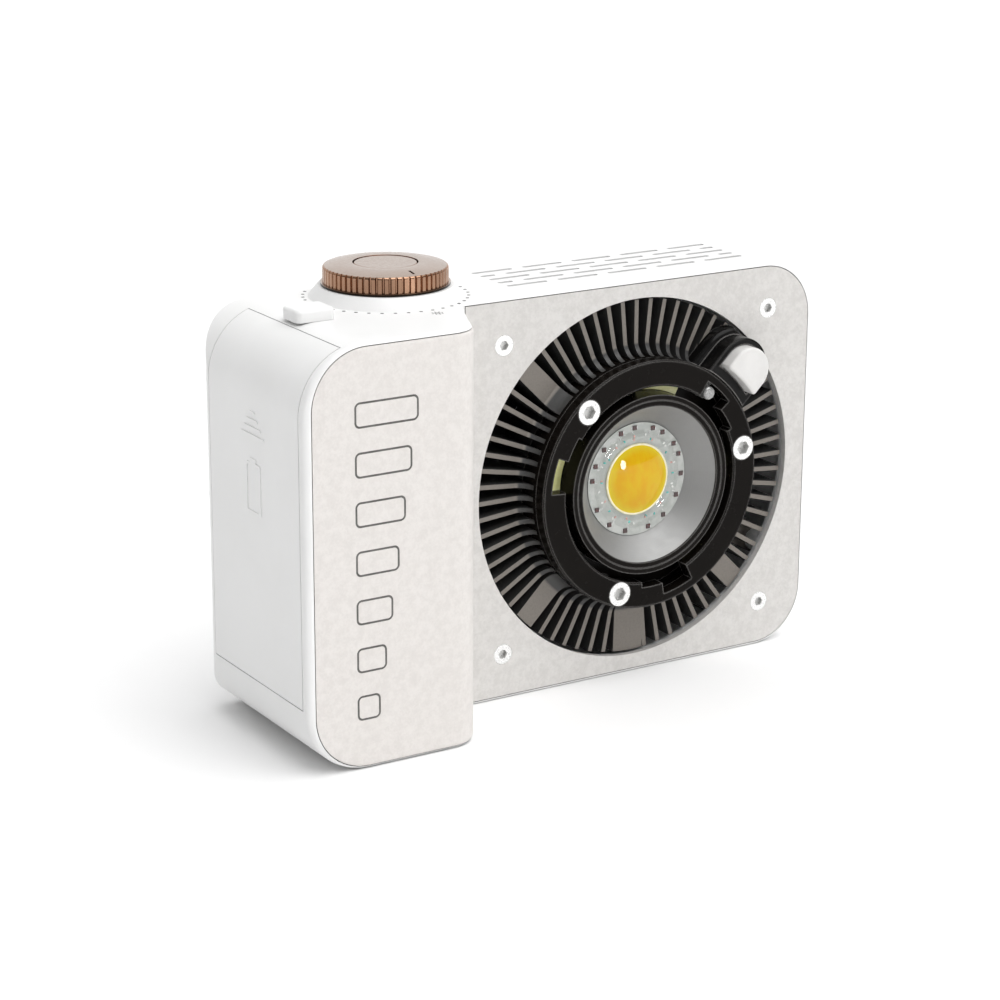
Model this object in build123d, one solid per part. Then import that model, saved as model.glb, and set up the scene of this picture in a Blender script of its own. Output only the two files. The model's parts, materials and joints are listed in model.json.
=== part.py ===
from build123d import *
import os
from math import cos, radians, sin, sqrt, tan

# Compact COB spotlight with a battery grip. Millimetres, +X to the right seen from
# the front, the front looks along -Y, +Z up. The origin is the middle of the case's
# footprint, on the surface it stands on.

# ---- case ----
CASE_X = 90.2  # half of the width
BACK = 32.4
GRIP_FRONT = -31.5
BODY_FRONT = -5.7
TOP = 116.0
WALL = 2.2
FRONT_WALL = 4.0  # body wall behind the front plate, measured from the plate's face
COVER_SPLIT = 28.6  # front case in front of this plane, rear cover behind it
GRIP_CORNER_R = 18.5
BODY_CORNER_R = 16.5
REAR_CORNER_R = 10.7  # seen from above
REAR_EDGE_R = 1.0
GRIP_EDGE_R = 2.0
BODY_EDGE_R = 1.0
GRIP_NOSE_R = 9.0
GRIP_SLANT = 23.5  # degrees between the inner side of the grip and Y
GRIP_ROOT_X = -28.0  # where the inner side meets the front of the body
BODY_OVERLAP_X = -60.0  # the body blank reaches this far into the grip
SEAM = 0.25
BOSS_R = 3.6  # bosses of the rear cover's screws
BOSS_FRONT = 6.0
SHORT_BOSS_R = 3.4  # bosses of the front plate's screws and the heat sink's ears
EAR_BOSS_R = 3.3

# ---- engraved level bars on the grip ----
MARK_COUNT = 7
MARK_LEFT = -75.5
MARK_Z0 = 17.5
MARK_PITCH = 13.3
MARK_H = 7.0
MARK_FIRST = 7.0  # length of the lowest bar
MARK_GROWTH = 2.0  # each bar is longer than the one below by this
MARK_R = 1.6
MARK_LINE = 0.6
MARK_DEPTH = 0.2

# ---- light head ----
HEAD_X = 30.0
HEAD_Z = 58.1
OPENING_R = 52.75
PLATE_T = 1.8
PLATE_INSET = 1.0  # the front plate stays this far inside the case's outline
PANEL_T = 1.0
PANEL_INSET = 2.5  # the same for the grip panel's outer side
PANEL_RIGHT = -20.0  # the panel's prism ends past the grip's nose
PLATE_SCREW_PITCH = 89.4
RING_OUT_R = 36.3
RING_IN_R = 28.7
RING_FRONT = -13.1
RING_BACK = -9.0
SLOT_DEEP_R = 33.6
SLOT_SHALLOW_R = 30.2
SLOT_START = 25.0  # degrees
SLOT_STEP = 38.6
SLOT_END = 56.0
RING_SCREW_R = 32.4
RING_SCREW_ANGLE = 11.5
RING_SCREW_FACE = RING_FRONT - 0.05
SINK_R = 52.0
SINK_FRONT = -4.0
SINK_BACK = 12.0
SINK_CORE_R = 36.2
SEAT = -1.5  # front of the heat sink's core, where the lamp sits
HOLDER_FLOOR = SEAT - 2.0
INSULATOR_FRONT = -6.0
INSULATOR_R = 34.0
INSULATOR_ARCS = ((142, 181), (62, 93), (-9, 4), (302, 333))  # start and end, degrees
POST_R = 3.3
TUBE_IN_R = 24.6
TUBE_OUT_R = 26.2
TUBE_FRONT = -12.7
CONE_FRONT = -12.0
CONE_R = 22.9
FIN_ROOT_R = 30.0
FIN_COUNT = 68
FIN_T = 1.3
RIB_T = 6.5
RIB_ANGLES = (45, 135, 225, 315)
WIDE_RIB_ANGLE = 268.7
WIDE_RIB_T = 10.0
EAR_R = 57.0
EAR_ROOT = 46.0
EAR_HALF_W = 4.0
EAR_FRONT = 4.0
EAR_BACK = 8.0
EAR_ANGLES = (30, 150, 210, 330)
RELEASE_ANGLE = 44.5
RELEASE_U = 43.2  # centre of the rounded end, from the head's axis
RELEASE_HALF_W = 8.6
RELEASE_BACK = -3.2
RELEASE_SKIRT = 1.8  # the housing's foot is wider than its rim by this on each side
RELEASE_SKIRT_FRONT = -7.6
BUTTON_HALF_W = 6.6
BUTTON_HOLLOW_R = 39.4  # the button's inner side follows the ring, at this radius
BUTTON_FRONT = -17.0
BUTTON_BACK = -8.8
LEVER_T = 1.2
LEVER_END_U = 43.5
SPRING_W = -0.6  # the spring under the button is this far off its middle
SPRING_SEAT = -4.2
SPRING_TOP = -12.0
PIN_R = 1.9
PIN_U = 30.7
PIN_W = 4.05
PIN_FRONT = -13.8
COB_COVER_R = 16.6
COB_FRONT = -5.5
COB_BACK = -2.9
COB_BOARD_R = 19.0
DOME_R = 10.0
DOME_RISE = 1.7
CHIP_ANGLES = (21, 35, 56, 70, 94, 112, 138, 158, 174, 208, 233, 256, 286, 308, 334, 358)
CHIP_ORBIT_R = 15.3
CHIP = 1.3

# ---- fan ----
FAN = 76.0
FAN_HOLE = 33.0
FAN_BACK = 24.4
FAN_BORE_R = 36.5
BLADE_COUNT = 7
HUB_FACE = FAN_BACK - 1.6
CUP_R = 15.0
CUP_FRONT = 14.0
CUP_BACK = 21.8
CUP_WALL = 1.2
FAN_PIN_R = 1.5
BEARING_R = 3.4
BEARING_FRONT = 17.0

# ---- dial ----
DIAL_X = -40.2
DIAL_Y = 14.6
DIAL_R = 17.2
DIAL_BOTTOM = 119.4
DIAL_TOP = 125.2
DIAL_FLANGE_R = 17.74
DIAL_FLANGE_TOP = 119.9
DIAL_BAND_TOP = 123.75
DIAL_FLAT_R = 10.5
BUTTON_SEAT = 121.2
BUTTON_UNDERSIDE = 122.2
KNURL_COUNT = 60
KNURL_DEPTH = 0.6
COLLAR_TOP = 119.2
COLLAR_R = 21.2
COLLAR_TOP_R = 18.6
SHAFT_R = 3.0
SHAFT_BORE_R = 2.0
SHAFT_FOOT = 108.0
BUTTON_R = 8.7
BOARD_TOP = 106.1  # control board under the dial
BUSH_R = 4.4
NUT_ACROSS = 11.0
NUT_H = 2.0
NUT_POCKET_R = 8.0

# ---- battery ----
DOOR_FRONT = -28.5
DOOR_REAR = 22.7
DOOR_BOTTOM = 19.1
DOOR_TOP_X = -77.9
DOOR_T = 1.2
BAY_Y0 = -24.0
BAY_Y1 = 18.0
BAY_Z0 = 19.5
BAY_Z1 = 97.5
BAY_WALL = 1.4
BATTERY_X = 40.0
BATTERY_Y = 38.4
BATTERY_Z = 70.8
BATTERY_ROOM = 0.1
BAY_X0 = -86.0
BAY_X1 = -42.5
BATTERY_X1 = BAY_X1 - BAY_WALL - BATTERY_ROOM
BATTERY_Z0 = BAY_Z0 + BAY_WALL + BATTERY_ROOM
BATTERY_MIDDLE_Y = (BAY_Y0 + BAY_Y1) / 2
BAY_HOLE_Y0 = DOOR_FRONT + 3.0
BAY_HOLE_Y1 = DOOR_REAR - 3.0
BAY_HOLE_Z0 = DOOR_BOTTOM + 3.0
BAY_HOLE_Z1 = TOP - GRIP_CORNER_R
LATCH_X0 = -77.2
LATCH_X1 = -65.8
LATCH_Y = 0.3
LATCH_W = 9.2
LATCH_TOP = 119.35
LATCH_FOOT_X = -66.6  # the spring is held between the latch's foot and a rib
LATCH_RIB_X = -60.5

# ---- rear controls ----
REAR_X = -62.0
DISPLAY_Z = 84.0
DISPLAY_W = 26.0
DISPLAY_H = 14.0
WINDOW_EDGE = 4.0  # the window overlaps the display's opening by this
WINDOW_T = 1.0
KEY_Z = 58.0
KEY_R = 4.0
KEY_PITCH = 14.0
SOCKET_Z = 34.0
SOCKET_W = 9.0
SOCKET_H = 3.2
REAR_BOARD_BACK = 24.2
BOARD_T = 1.6
DRIVER_X = -33.6  # face of the driver board that carries its parts

# ---- fasteners ----
SCREW_ROOM = 0.06
THREAD_ROOM = 0.05
M3_SHANK = 1.5
M3_HEAD = 2.9
M3_HEAD_H = 1.5
M3_KEY = 2.5
M3_CAP_R = 2.75
M3_CAP_H = 2.0
M4_SHANK = 2.0
M4_HEAD = 3.5
M4_HEAD_H = 2.2
M4_KEY = 3.6
TRIPOD_X = -8.0
TRIPOD_Y = 10.0
TRIPOD_R = 3.175
INSERT_R = 5.4
INSERT_TOP = 10.3
INSERT_BOSS_R = 8.0
COVER_SCREWS = ((-75.8, 5.4), (-75.8, 110.6), (-19, 110.8), (-26, 5.2), (77.1, 5.6), (77.1, 110.4))


# ---------------------------------------------------------------- helpers


def box(x0, x1, y0, y1, z0, z1):
    """Block between two corners."""
    middle = Pos((x0 + x1) / 2, (y0 + y1) / 2, (z0 + z1) / 2)
    return middle * Box(x1 - x0, y1 - y0, z1 - z0)


def outline(points, radii):
    """Closed outline with one radius for each corner; 0 leaves it sharp."""
    return make_face(FilletPolyline(*points, radius=radii, close=True))


def rectangle(a0, a1, b0, b1, radius=0.0):
    """Rectangle between two corners, with rounded corners."""
    corners = [(a0, b0), (a1, b0), (a1, b1), (a0, b1)]
    return outline(corners, [radius] * 4)


def slab_x(sketch, x0, x1):
    """A Y-Z outline pulled from x0 to x1."""
    return extrude(Plane.YZ.offset(x0) * sketch, amount=x1 - x0)


def slab_y(sketch, y0, y1):
    """An X-Z outline pulled from y0 to y1."""
    return extrude(Plane.XZ.offset(-y1) * sketch, amount=y1 - y0)


def slab_z(sketch, z0, z1):
    """An X-Y outline pulled from z0 to z1."""
    return extrude(Plane.XY.offset(z0) * sketch, amount=z1 - z0)


def head_slab(sketch, y0, y1):
    """An outline drawn about the head's axis, pulled from y0 to y1."""
    return slab_y(Pos(HEAD_X, HEAD_Z) * sketch, y0, y1)


def bar_y(x, z, y0, y1, radius):
    return slab_y(Pos(x, z) * Circle(radius), y0, y1)


def bar_z(x, y, z0, z1, radius):
    return slab_z(Pos(x, y) * Circle(radius), z0, z1)


def turned_y(x, z, profile):
    """Solid turned about an axis along Y, from (radius, y) points."""
    face = make_face(Polyline(*profile, close=True))
    return Pos(x, 0, z) * revolve(face, axis=Axis.Y)


def turned_z(x, y, profile):
    """Solid turned about an axis along Z, from (radius, z) points."""
    face = Plane.XZ * make_face(Polyline(*profile, close=True))
    return Pos(x, y, 0) * revolve(face, axis=Axis.Z)


def polar(radius, angle):
    """X and Z of a point round the head's axis."""
    return (
        HEAD_X + radius * cos(radians(angle)),
        HEAD_Z + radius * sin(radians(angle)),
    )


def wedge(start, end, radius):
    """Pie slice about the origin, wider than a circle of the radius."""
    reach = 1.6 * radius
    middle = (start + end) / 2
    rim = [(reach * cos(radians(a)), reach * sin(radians(a))) for a in (start, middle, end)]
    return make_face(Polyline((0, 0), *rim, close=True))


def screw_y(x, z, face, tip, shank, head, head_h, socket, direction=1):
    """Countersunk screw along Y with a hexagon socket; it runs from face to tip."""
    neck = face + direction * head_h
    profile = [(0, face), (head, face), (head, face + 0.25 * direction)]
    profile += [(shank, neck), (shank, tip), (0, tip)]
    body = turned_y(x, z, profile)
    key = RegularPolygon(socket / 2, 6, major_radius=False)
    low, high = sorted((face - direction, face + direction * head_h * 0.75))
    return body - slab_y(Pos(x, z) * key, low, high)


def sink_y(x, z, face, depth, shank, head, head_h, direction=1):
    """The hole that screw_y's screw goes in, with a little room."""
    neck = face + direction * head_h
    out = face - direction
    wide = head + SCREW_ROOM
    narrow = shank + SCREW_ROOM
    profile = [(0, out), (wide, out), (wide, face + 0.25 * direction)]
    profile += [(narrow, neck), (narrow, depth), (0, depth)]
    return turned_y(x, z, profile)


def cap_screw_y(x, z, seat, tip, shank, head, head_h, direction):
    """Cylinder-head screw along Y; the head stands away from its seat."""
    face = seat - direction * head_h
    profile = [(0, face), (head, face), (head, seat), (shank, seat), (shank, tip), (0, tip)]
    body = turned_y(x, z, profile)
    key = RegularPolygon(shank * 0.8, 6, major_radius=False)
    low, high = sorted((face - direction, face + direction * head_h * 0.6))
    return body - slab_y(Pos(x, z) * key, low, high)


# ---------------------------------------------------------------- case blanks


def slant_x(y, inset):
    """X of the grip's inner side at a given y."""
    root = GRIP_ROOT_X - inset / cos(radians(GRIP_SLANT))
    return root + (y - BODY_FRONT) * tan(radians(GRIP_SLANT))


def grip_blank(inset):
    """Solid grip, taken in by the inset on every side."""
    left = -CASE_X + inset
    front = GRIP_FRONT + inset
    back = BACK - inset
    top = TOP - inset
    corner = GRIP_CORNER_R - inset
    plan_points = [
        (left, back),
        (left, front),
        (slant_x(front, inset), front),
        (slant_x(back, inset), back),
    ]
    plan_radii = [REAR_CORNER_R - inset, 0, GRIP_NOSE_R - inset, 0]
    plan = slab_z(outline(plan_points, plan_radii), inset, top)
    side_points = [(left, inset), (0, inset), (0, top), (left, top)]
    side = slab_y(outline(side_points, [corner, 0, 0, corner]), front, back)
    blank = plan & side

    def at_front(edge):
        size = edge.bounding_box().size
        seam = abs(size.Z - edge.length) < 0.01 and edge.center().X > left + 5
        lengthwise = abs(size.Y - edge.length) < 0.01
        on_rim = min(edge.center().Z - inset, top - edge.center().Z) < 0.01
        on_face = abs(edge.center().Y - front) < 0.01
        to_the_right = edge.center().X > -50 and edge.center().Y < back - 1
        return not seam and not lengthwise and (on_face or (on_rim and to_the_right))

    if inset < GRIP_EDGE_R:
        blank = fillet(blank.edges().filter_by(at_front), GRIP_EDGE_R - inset)
    return blank


def body_blank(inset, front):
    """Solid body to the right of the grip, taken in by the inset."""
    right = CASE_X - inset
    back = BACK - inset
    top = TOP - inset
    corner = BODY_CORNER_R - inset
    points = [(BODY_OVERLAP_X, inset), (right, inset), (right, top), (BODY_OVERLAP_X, top)]
    blank = slab_y(outline(points, [0, corner, corner, 0]), front, back)
    plan_points = [(BODY_OVERLAP_X, front), (right, front), (right, back), (BODY_OVERLAP_X, back)]
    blank &= slab_z(outline(plan_points, [0, 0, REAR_CORNER_R - inset, 0]), inset, top)

    def at_front(edge):
        return abs(edge.center().Y - front) < 0.01 and edge.center().X > BODY_OVERLAP_X + 1

    if inset < BODY_EDGE_R:
        blank = fillet(blank.edges().filter_by(at_front), BODY_EDGE_R - inset)
    return blank


OUTER_GRIP = grip_blank(0)
OUTER = OUTER_GRIP + body_blank(0, BODY_FRONT)
OUTER &= slab_x(
    outline(
        [(GRIP_FRONT - 5, 0), (BACK, 0), (BACK, TOP), (GRIP_FRONT - 5, TOP)],
        [0, REAR_EDGE_R, REAR_EDGE_R, 0],
    ),
    -CASE_X - 5,
    CASE_X + 5,
)
INNER = grip_blank(WALL) + body_blank(WALL, BODY_FRONT + FRONT_WALL)
UNDER_PANEL = grip_blank(PANEL_T)
UNDER_DOOR = grip_blank(DOOR_T)


# ---------------------------------------------------------------- case pieces


def front_plate_outline(room):
    inset = PLATE_INSET - room
    left = slant_x(BODY_FRONT, 0) + inset
    right = CASE_X - inset
    top = TOP - inset
    corner = BODY_CORNER_R - inset
    return outline([(left, inset), (right, inset), (right, top), (left, top)], [0, corner, corner, 0])


def plate_screw_places():
    half = PLATE_SCREW_PITCH / 2
    return [(HEAD_X + i * half, HEAD_Z + j * half) for i in (-1, 1) for j in (-1, 1)]


def front_plate():
    plate = slab_y(front_plate_outline(0), BODY_FRONT, BODY_FRONT + PLATE_T)
    plate -= bar_y(HEAD_X, HEAD_Z, BODY_FRONT - 1, 0, OPENING_R)
    for x, z in plate_screw_places():
        plate -= sink_y(x, z, BODY_FRONT, 5, M3_SHANK, M3_HEAD, M3_HEAD_H)
    return plate


def front_plate_screws():
    return [
        screw_y(x, z, BODY_FRONT, 4.0, M3_SHANK, M3_HEAD, M3_HEAD_H, M3_KEY)
        for x, z in plate_screw_places()
    ]


def panel_window(room):
    """Prism that cuts the grip's front panel out of its skin."""
    left = -CASE_X + PANEL_INSET - room
    low = PLATE_INSET - room
    high = TOP - PLATE_INSET + room
    corner = GRIP_CORNER_R - PANEL_INSET + room
    points = [(left, low), (PANEL_RIGHT, low), (PANEL_RIGHT, high), (left, high)]
    face = outline(points, [corner, 0, 0, corner])
    return slab_y(face, GRIP_FRONT - 1, BODY_FRONT - 0.5 + room)


def mark_length(index):
    """The outlined bars on the grip grow longer towards the top."""
    return MARK_FIRST + MARK_GROWTH * index


def grip_marks():
    """Grooves of a ladder of outlined level bars."""
    grooves = []
    for i in range(MARK_COUNT):
        x0 = MARK_LEFT
        x1 = x0 + mark_length(i)
        z0 = MARK_Z0 + i * MARK_PITCH - MARK_H / 2
        z1 = z0 + MARK_H
        ring = rectangle(x0, x1, z0, z1, MARK_R)
        ring -= rectangle(
            x0 + MARK_LINE, x1 - MARK_LINE, z0 + MARK_LINE, z1 - MARK_LINE, MARK_R - MARK_LINE
        )
        grooves.append(slab_y(ring, GRIP_FRONT - 1, GRIP_FRONT + MARK_DEPTH))
    return grooves


def grip_panel():
    return ((OUTER_GRIP - UNDER_PANEL) & panel_window(0)) - grip_marks()


def door_region(room):
    return box(
        -CASE_X - 1,
        DOOR_TOP_X + room,
        DOOR_FRONT - room,
        DOOR_REAR + room,
        DOOR_BOTTOM - room,
        TOP + 1,
    )


def door_icons():
    """Raised arrow of four bars above a battery outline, on the door's face."""
    outer = -CASE_X - 0.25
    inner = -CASE_X + 0.2
    line = 0.8
    middle = (DOOR_FRONT + DOOR_REAR) / 2
    widest, taper = 6.6, 1.75
    arrow_z, arrow_pitch = 87.4, 2.1
    cell_half, cell_z0, cell_z1, tip_half = 4.2, 66.0, 80.0, 1.7
    icons = []
    for i in range(4):
        half = widest - taper * i
        z = arrow_z + arrow_pitch * i
        bar = rectangle(middle - half, middle + half, z - line / 2, z + line / 2, 0.3)
        icons.append(slab_x(bar, outer, inner))
    cell = rectangle(middle - cell_half, middle + cell_half, cell_z0, cell_z1, 1.0)
    hollow_half = cell_half - line
    cell -= rectangle(
        middle - hollow_half, middle + hollow_half, cell_z0 + line, cell_z1 - line, 0.5
    )
    tip = rectangle(middle - tip_half, middle + tip_half, cell_z1 - 0.3, cell_z1 + 1.2, 0.3)
    icons.append(slab_x(cell + tip, outer, inner))
    return icons


def battery_door():
    """Sliding door: a piece of the grip's skin with two hooked rails inside."""
    door = (OUTER_GRIP - UNDER_DOOR) & door_region(0)
    door += door_icons()
    web = 1.2
    lip = 1.3
    rail_z0 = 30.0
    rail_z1 = 84.0
    inner_face = -CASE_X + WALL + 0.12
    for side, edge in ((1, BAY_HOLE_Y1), (-1, BAY_HOLE_Y0)):
        near = edge - side * SEAM
        far = near - side * web
        out = near + side * lip
        y0, y1 = sorted((near, far))
        door += box(-CASE_X + DOOR_T - 0.1, inner_face + 1.0, y0, y1, rail_z0, rail_z1)
        y0, y1 = sorted((out, far))
        door += box(inner_face, inner_face + 1.0, y0, y1, rail_z0, rail_z1)
    return door


def top_vents():
    """Five rows of slots along the top, every second row shifted by half a slot."""
    first_y, row_pitch = 6.8, 4.68
    left, right = -6.2, 73.8
    width, length, step, shift = 1.6, 13.2, 16.75, 8.4
    cuts = []
    for row in range(5):
        y = first_y + row * row_pitch
        start = left if row % 2 == 0 else left - shift
        for i in range(6):
            x0 = max(start + i * step, left)
            x1 = min(start + i * step + length, right)
            if x1 - x0 > 2 * width:
                slot = Pos((x0 + x1) / 2, y) * SlotOverall(x1 - x0, width)
                cuts.append(slab_z(slot, TOP - WALL - 1, TOP + 1))
    return cuts


def front_case():
    case = split(OUTER - INNER, Plane.XZ.offset(-COVER_SPLIT), keep=Keep.TOP)

    # seats of the front plate and the grip panel
    case -= slab_y(front_plate_outline(SEAM), BODY_FRONT - 1, BODY_FRONT + PLATE_T)
    case -= bar_y(HEAD_X, HEAD_Z, BODY_FRONT - 1, 0, OPENING_R + 0.6)
    case -= panel_window(SEAM) - UNDER_PANEL

    # seat and opening of the battery door
    case -= door_region(SEAM) - grip_blank(DOOR_T + 0.05)
    case -= box(-CASE_X - 1, BAY_X0, BAY_HOLE_Y0, BAY_HOLE_Y1, BAY_HOLE_Z0, BAY_HOLE_Z1)

    case -= top_vents()

    # cone under the dial, with the pocket of the encoder's nut
    cone = [(0, TOP - 1), (COLLAR_R, TOP - 1), (COLLAR_R, TOP)]
    cone += [(COLLAR_TOP_R, COLLAR_TOP), (0, COLLAR_TOP)]
    cone = turned_z(DIAL_X, DIAL_Y, cone) - OUTER
    case += split(cone, Plane.XZ.offset(-BACK), keep=Keep.TOP)
    case -= bar_z(DIAL_X, DIAL_Y, TOP, TOP + 5, NUT_POCKET_R)
    case -= bar_z(DIAL_X, DIAL_Y, TOP - 5, TOP + 5, BUSH_R + 0.1)

    # slot of the latch and the rib its spring pushes on
    case -= box(-74.3, -66.0, LATCH_Y - 2.2, LATCH_Y + 2.2, TOP - 4, TOP + 1)
    case += box(LATCH_RIB_X, LATCH_RIB_X + 1.2, LATCH_Y - 3.3, LATCH_Y + 3.3, 108.5, TOP - WALL)

    # bosses of the rear cover's screws
    for x, z in COVER_SCREWS:
        case += bar_y(x, z, BOSS_FRONT, COVER_SPLIT, BOSS_R) & INNER
        case -= bar_y(x, z, 2 * BOSS_FRONT, COVER_SPLIT + 1, M3_SHANK + THREAD_ROOM)

    # bosses of the plate's screws and of the heat sink's ears
    inside = BODY_FRONT + FRONT_WALL - 0.5
    for x, z in plate_screw_places():
        case += bar_y(x, z, inside, 5.5, SHORT_BOSS_R)
        case -= bar_y(x, z, BODY_FRONT, 4.3, M3_SHANK + SCREW_ROOM)
    for angle in EAR_ANGLES:
        x, z = polar(EAR_R, angle)
        case += bar_y(x, z, inside, EAR_FRONT, EAR_BOSS_R)
        case -= bar_y(x, z, 0.0, EAR_FRONT + 1, M3_SHANK + THREAD_ROOM)

    # ribs that hold the battery bay, from below and from above
    for x in (-80.0, -64.0, -50.0):
        case += box(x, x + 1.6, -18.0, 14.0, WALL - 0.2, BAY_Z0)
    for x in (-64.0, -54.0):
        case += box(x, x + 1.6, -18.0, -8.0, BAY_Z1, TOP - WALL + 0.2)

    # boss of the tripod insert
    case += bar_z(TRIPOD_X, TRIPOD_Y, WALL - 0.2, INSERT_TOP + 1.7, INSERT_BOSS_R)
    case -= bar_z(TRIPOD_X, TRIPOD_Y, -1, INSERT_TOP, INSERT_R + 0.02)
    return case


def rear_cover():
    cover = split(OUTER - INNER, Plane.XZ.offset(-COVER_SPLIT), keep=Keep.BOTTOM)

    # air grille behind the fan: rows of slots inside a circle
    grille_r = 34.0
    pitch = 5.0
    bar = 3.0
    for row in range(-6, 6):
        dz = (row + 0.5) * pitch
        half = sqrt(grille_r**2 - dz**2) - 1.0
        cell = (2 * half - 2 * bar) / 3
        if half < 20:
            cell = (2 * half - bar) / 2
        count = 3 if half >= 20 else 2
        for i in range(count):
            x = HEAD_X - half + cell / 2 + i * (cell + bar)
            slot = Pos(x, HEAD_Z + dz) * SlotOverall(cell, 2.4)
            cover -= slab_y(slot, COVER_SPLIT, BACK + 1)

    for x, z in COVER_SCREWS:
        cover += bar_y(x, z, COVER_SPLIT, BACK - WALL + 0.5, BOSS_R) & OUTER
        cover -= sink_y(x, z, BACK, COVER_SPLIT - 1, M3_SHANK, M3_HEAD, M3_HEAD_H, -1)

    # window seat and opening of the display
    cover -= slab_y(display_outline(WINDOW_EDGE, 2.5), BACK - WINDOW_T, BACK + 1)
    cover -= slab_y(display_outline(0, 1.0), COVER_SPLIT, BACK + 1)

    # dished holes of the three keys
    for x in key_places():
        floor = BACK - 0.6
        dish = [(0, floor), (KEY_R + 0.6, floor), (KEY_R + 2.0, BACK + 0.1), (0, BACK + 0.1)]
        cover -= turned_y(x, KEY_Z, dish)
        cover -= bar_y(x, KEY_Z, COVER_SPLIT, BACK, KEY_R + 0.15)

    mouth = Pos(REAR_X, SOCKET_Z) * SlotOverall(SOCKET_W + 2.0, SOCKET_H + 2.0)
    cover -= slab_y(mouth, COVER_SPLIT, BACK + 1)
    return cover


def rear_cover_screws():
    return [
        screw_y(x, z, BACK, 13.0, M3_SHANK, M3_HEAD, M3_HEAD_H, M3_KEY, -1)
        for x, z in COVER_SCREWS
    ]


def tripod_insert():
    """Brass insert with a 1/4 inch thread, shown as its plain bore."""
    body = bar_z(TRIPOD_X, TRIPOD_Y, 0.3, INSERT_TOP, INSERT_R)
    return body - bar_z(TRIPOD_X, TRIPOD_Y, 0, INSERT_TOP + 1, TRIPOD_R)


# ---------------------------------------------------------------- battery


def battery_bay():
    bay = box(BAY_X0, BAY_X1, BAY_Y0, BAY_Y1, BAY_Z0, BAY_Z1)
    return bay - box(
        BAY_X0 - 1,
        BAY_X1 - BAY_WALL,
        BAY_Y0 + BAY_WALL,
        BAY_Y1 - BAY_WALL,
        BAY_Z0 + BAY_WALL,
        BAY_Z1 - BAY_WALL,
    )


def battery_pack():
    half = BATTERY_Y / 2
    top = BATTERY_Z0 + BATTERY_Z
    pack = box(
        BATTERY_X1 - BATTERY_X,
        BATTERY_X1,
        BATTERY_MIDDLE_Y - half,
        BATTERY_MIDDLE_Y + half,
        BATTERY_Z0,
        top,
    )
    return fillet(pack.edges().filter_by(Axis.Z), 3.0)


def battery_contacts():
    low = BATTERY_Z0 + BATTERY_Z
    high = BAY_Z1 - BAY_WALL
    return [
        box(-66 + 5 * i, -64.8 + 5 * i, BATTERY_MIDDLE_Y - 2, BATTERY_MIDDLE_Y + 2, low, high)
        for i in range(3)
    ]


def door_latch():
    y0 = LATCH_Y - LATCH_W / 2
    y1 = LATCH_Y + LATCH_W / 2
    cap = box(LATCH_X0, LATCH_X1, y0, y1, TOP + 0.05, LATCH_TOP)
    cap = fillet(cap.edges().filter_by(Axis.Z), 1.6)
    cap = fillet(cap.faces().sort_by(Axis.Z)[-1].edges(), 0.9)
    stem = box(-74.0, -69.6, LATCH_Y - 1.9, LATCH_Y + 1.9, 112.4, TOP + 0.1)
    foot = box(-76.0, LATCH_FOOT_X, LATCH_Y - 3.3, LATCH_Y + 3.3, 110.0, 112.5)
    return cap + stem + foot


def coil(wire_r, coil_r, turns, length):
    """Helical spring along +Z from the origin, wire ends inside the length."""
    rise = length - 2 * wire_r
    path = Helix(pitch=rise / turns, height=rise, radius=coil_r)
    section = Plane(origin=path @ 0, z_dir=path % 0) * Circle(wire_r)
    return Pos(0, 0, wire_r) * sweep(section, path=path)


def latch_spring():
    gap = 0.02
    length = LATCH_RIB_X - LATCH_FOOT_X - 2 * gap
    return Pos(LATCH_FOOT_X + gap, LATCH_Y, 111.25) * Rot(0, 90, 0) * coil(0.2, 0.9, 6, length)


# ---------------------------------------------------------------- dial


def knurl():
    """Outline of the dial's grip: straight teeth with flat tips."""
    points = []
    valley = DIAL_R - KNURL_DEPTH
    for i in range(KNURL_COUNT):
        start = 360 / KNURL_COUNT * i
        for share, radius in ((0.0, DIAL_R), (0.55, DIAL_R), (0.7, valley), (0.85, valley)):
            angle = radians(start + share * 360 / KNURL_COUNT)
            points.append((radius * cos(angle), radius * sin(angle)))
    return make_face(Polyline(*points, close=True))


def dial():
    """Knurled knob on a thin flange; the grip's valleys run out in the crown's slope."""
    place = Pos(DIAL_X, DIAL_Y)
    band = (DIAL_R, DIAL_BAND_TOP)
    shoulder = (DIAL_R - 0.75, DIAL_BAND_TOP + 0.7)
    flat = (DIAL_FLAT_R, DIAL_TOP)
    edge = ThreePointArc(band, (DIAL_R - 0.18, DIAL_BAND_TOP + 0.42), shoulder)
    slope = ThreePointArc(shoulder, (DIAL_R - 3.4, DIAL_TOP - 0.26), flat)
    rest = Polyline(flat, (0, DIAL_TOP), (0, DIAL_FLANGE_TOP), (DIAL_R, DIAL_FLANGE_TOP), band)
    turned = place * revolve(Plane.XZ * make_face(edge + slope + rest), axis=Axis.Z)
    knob = turned & slab_z(place * knurl(), DIAL_FLANGE_TOP, DIAL_TOP)
    knob += bar_z(DIAL_X, DIAL_Y, DIAL_BOTTOM, DIAL_FLANGE_TOP, DIAL_FLANGE_R)
    knob -= bar_z(DIAL_X, DIAL_Y, BUTTON_SEAT, DIAL_TOP + 1, BUTTON_R + 0.3)
    knob -= bar_z(DIAL_X, DIAL_Y, DIAL_BOTTOM - 1, DIAL_TOP, SHAFT_R)
    line = box(-0.35, 0.35, -15.6, -12.9, DIAL_TOP - 0.75, DIAL_TOP + 1)
    return knob - place * line


def dial_button():
    cap = bar_z(DIAL_X, DIAL_Y, BUTTON_UNDERSIDE, DIAL_TOP - 0.1, BUTTON_R)
    return fillet(cap.faces().sort_by(Axis.Z)[-1].edges(), 0.4)


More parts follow.
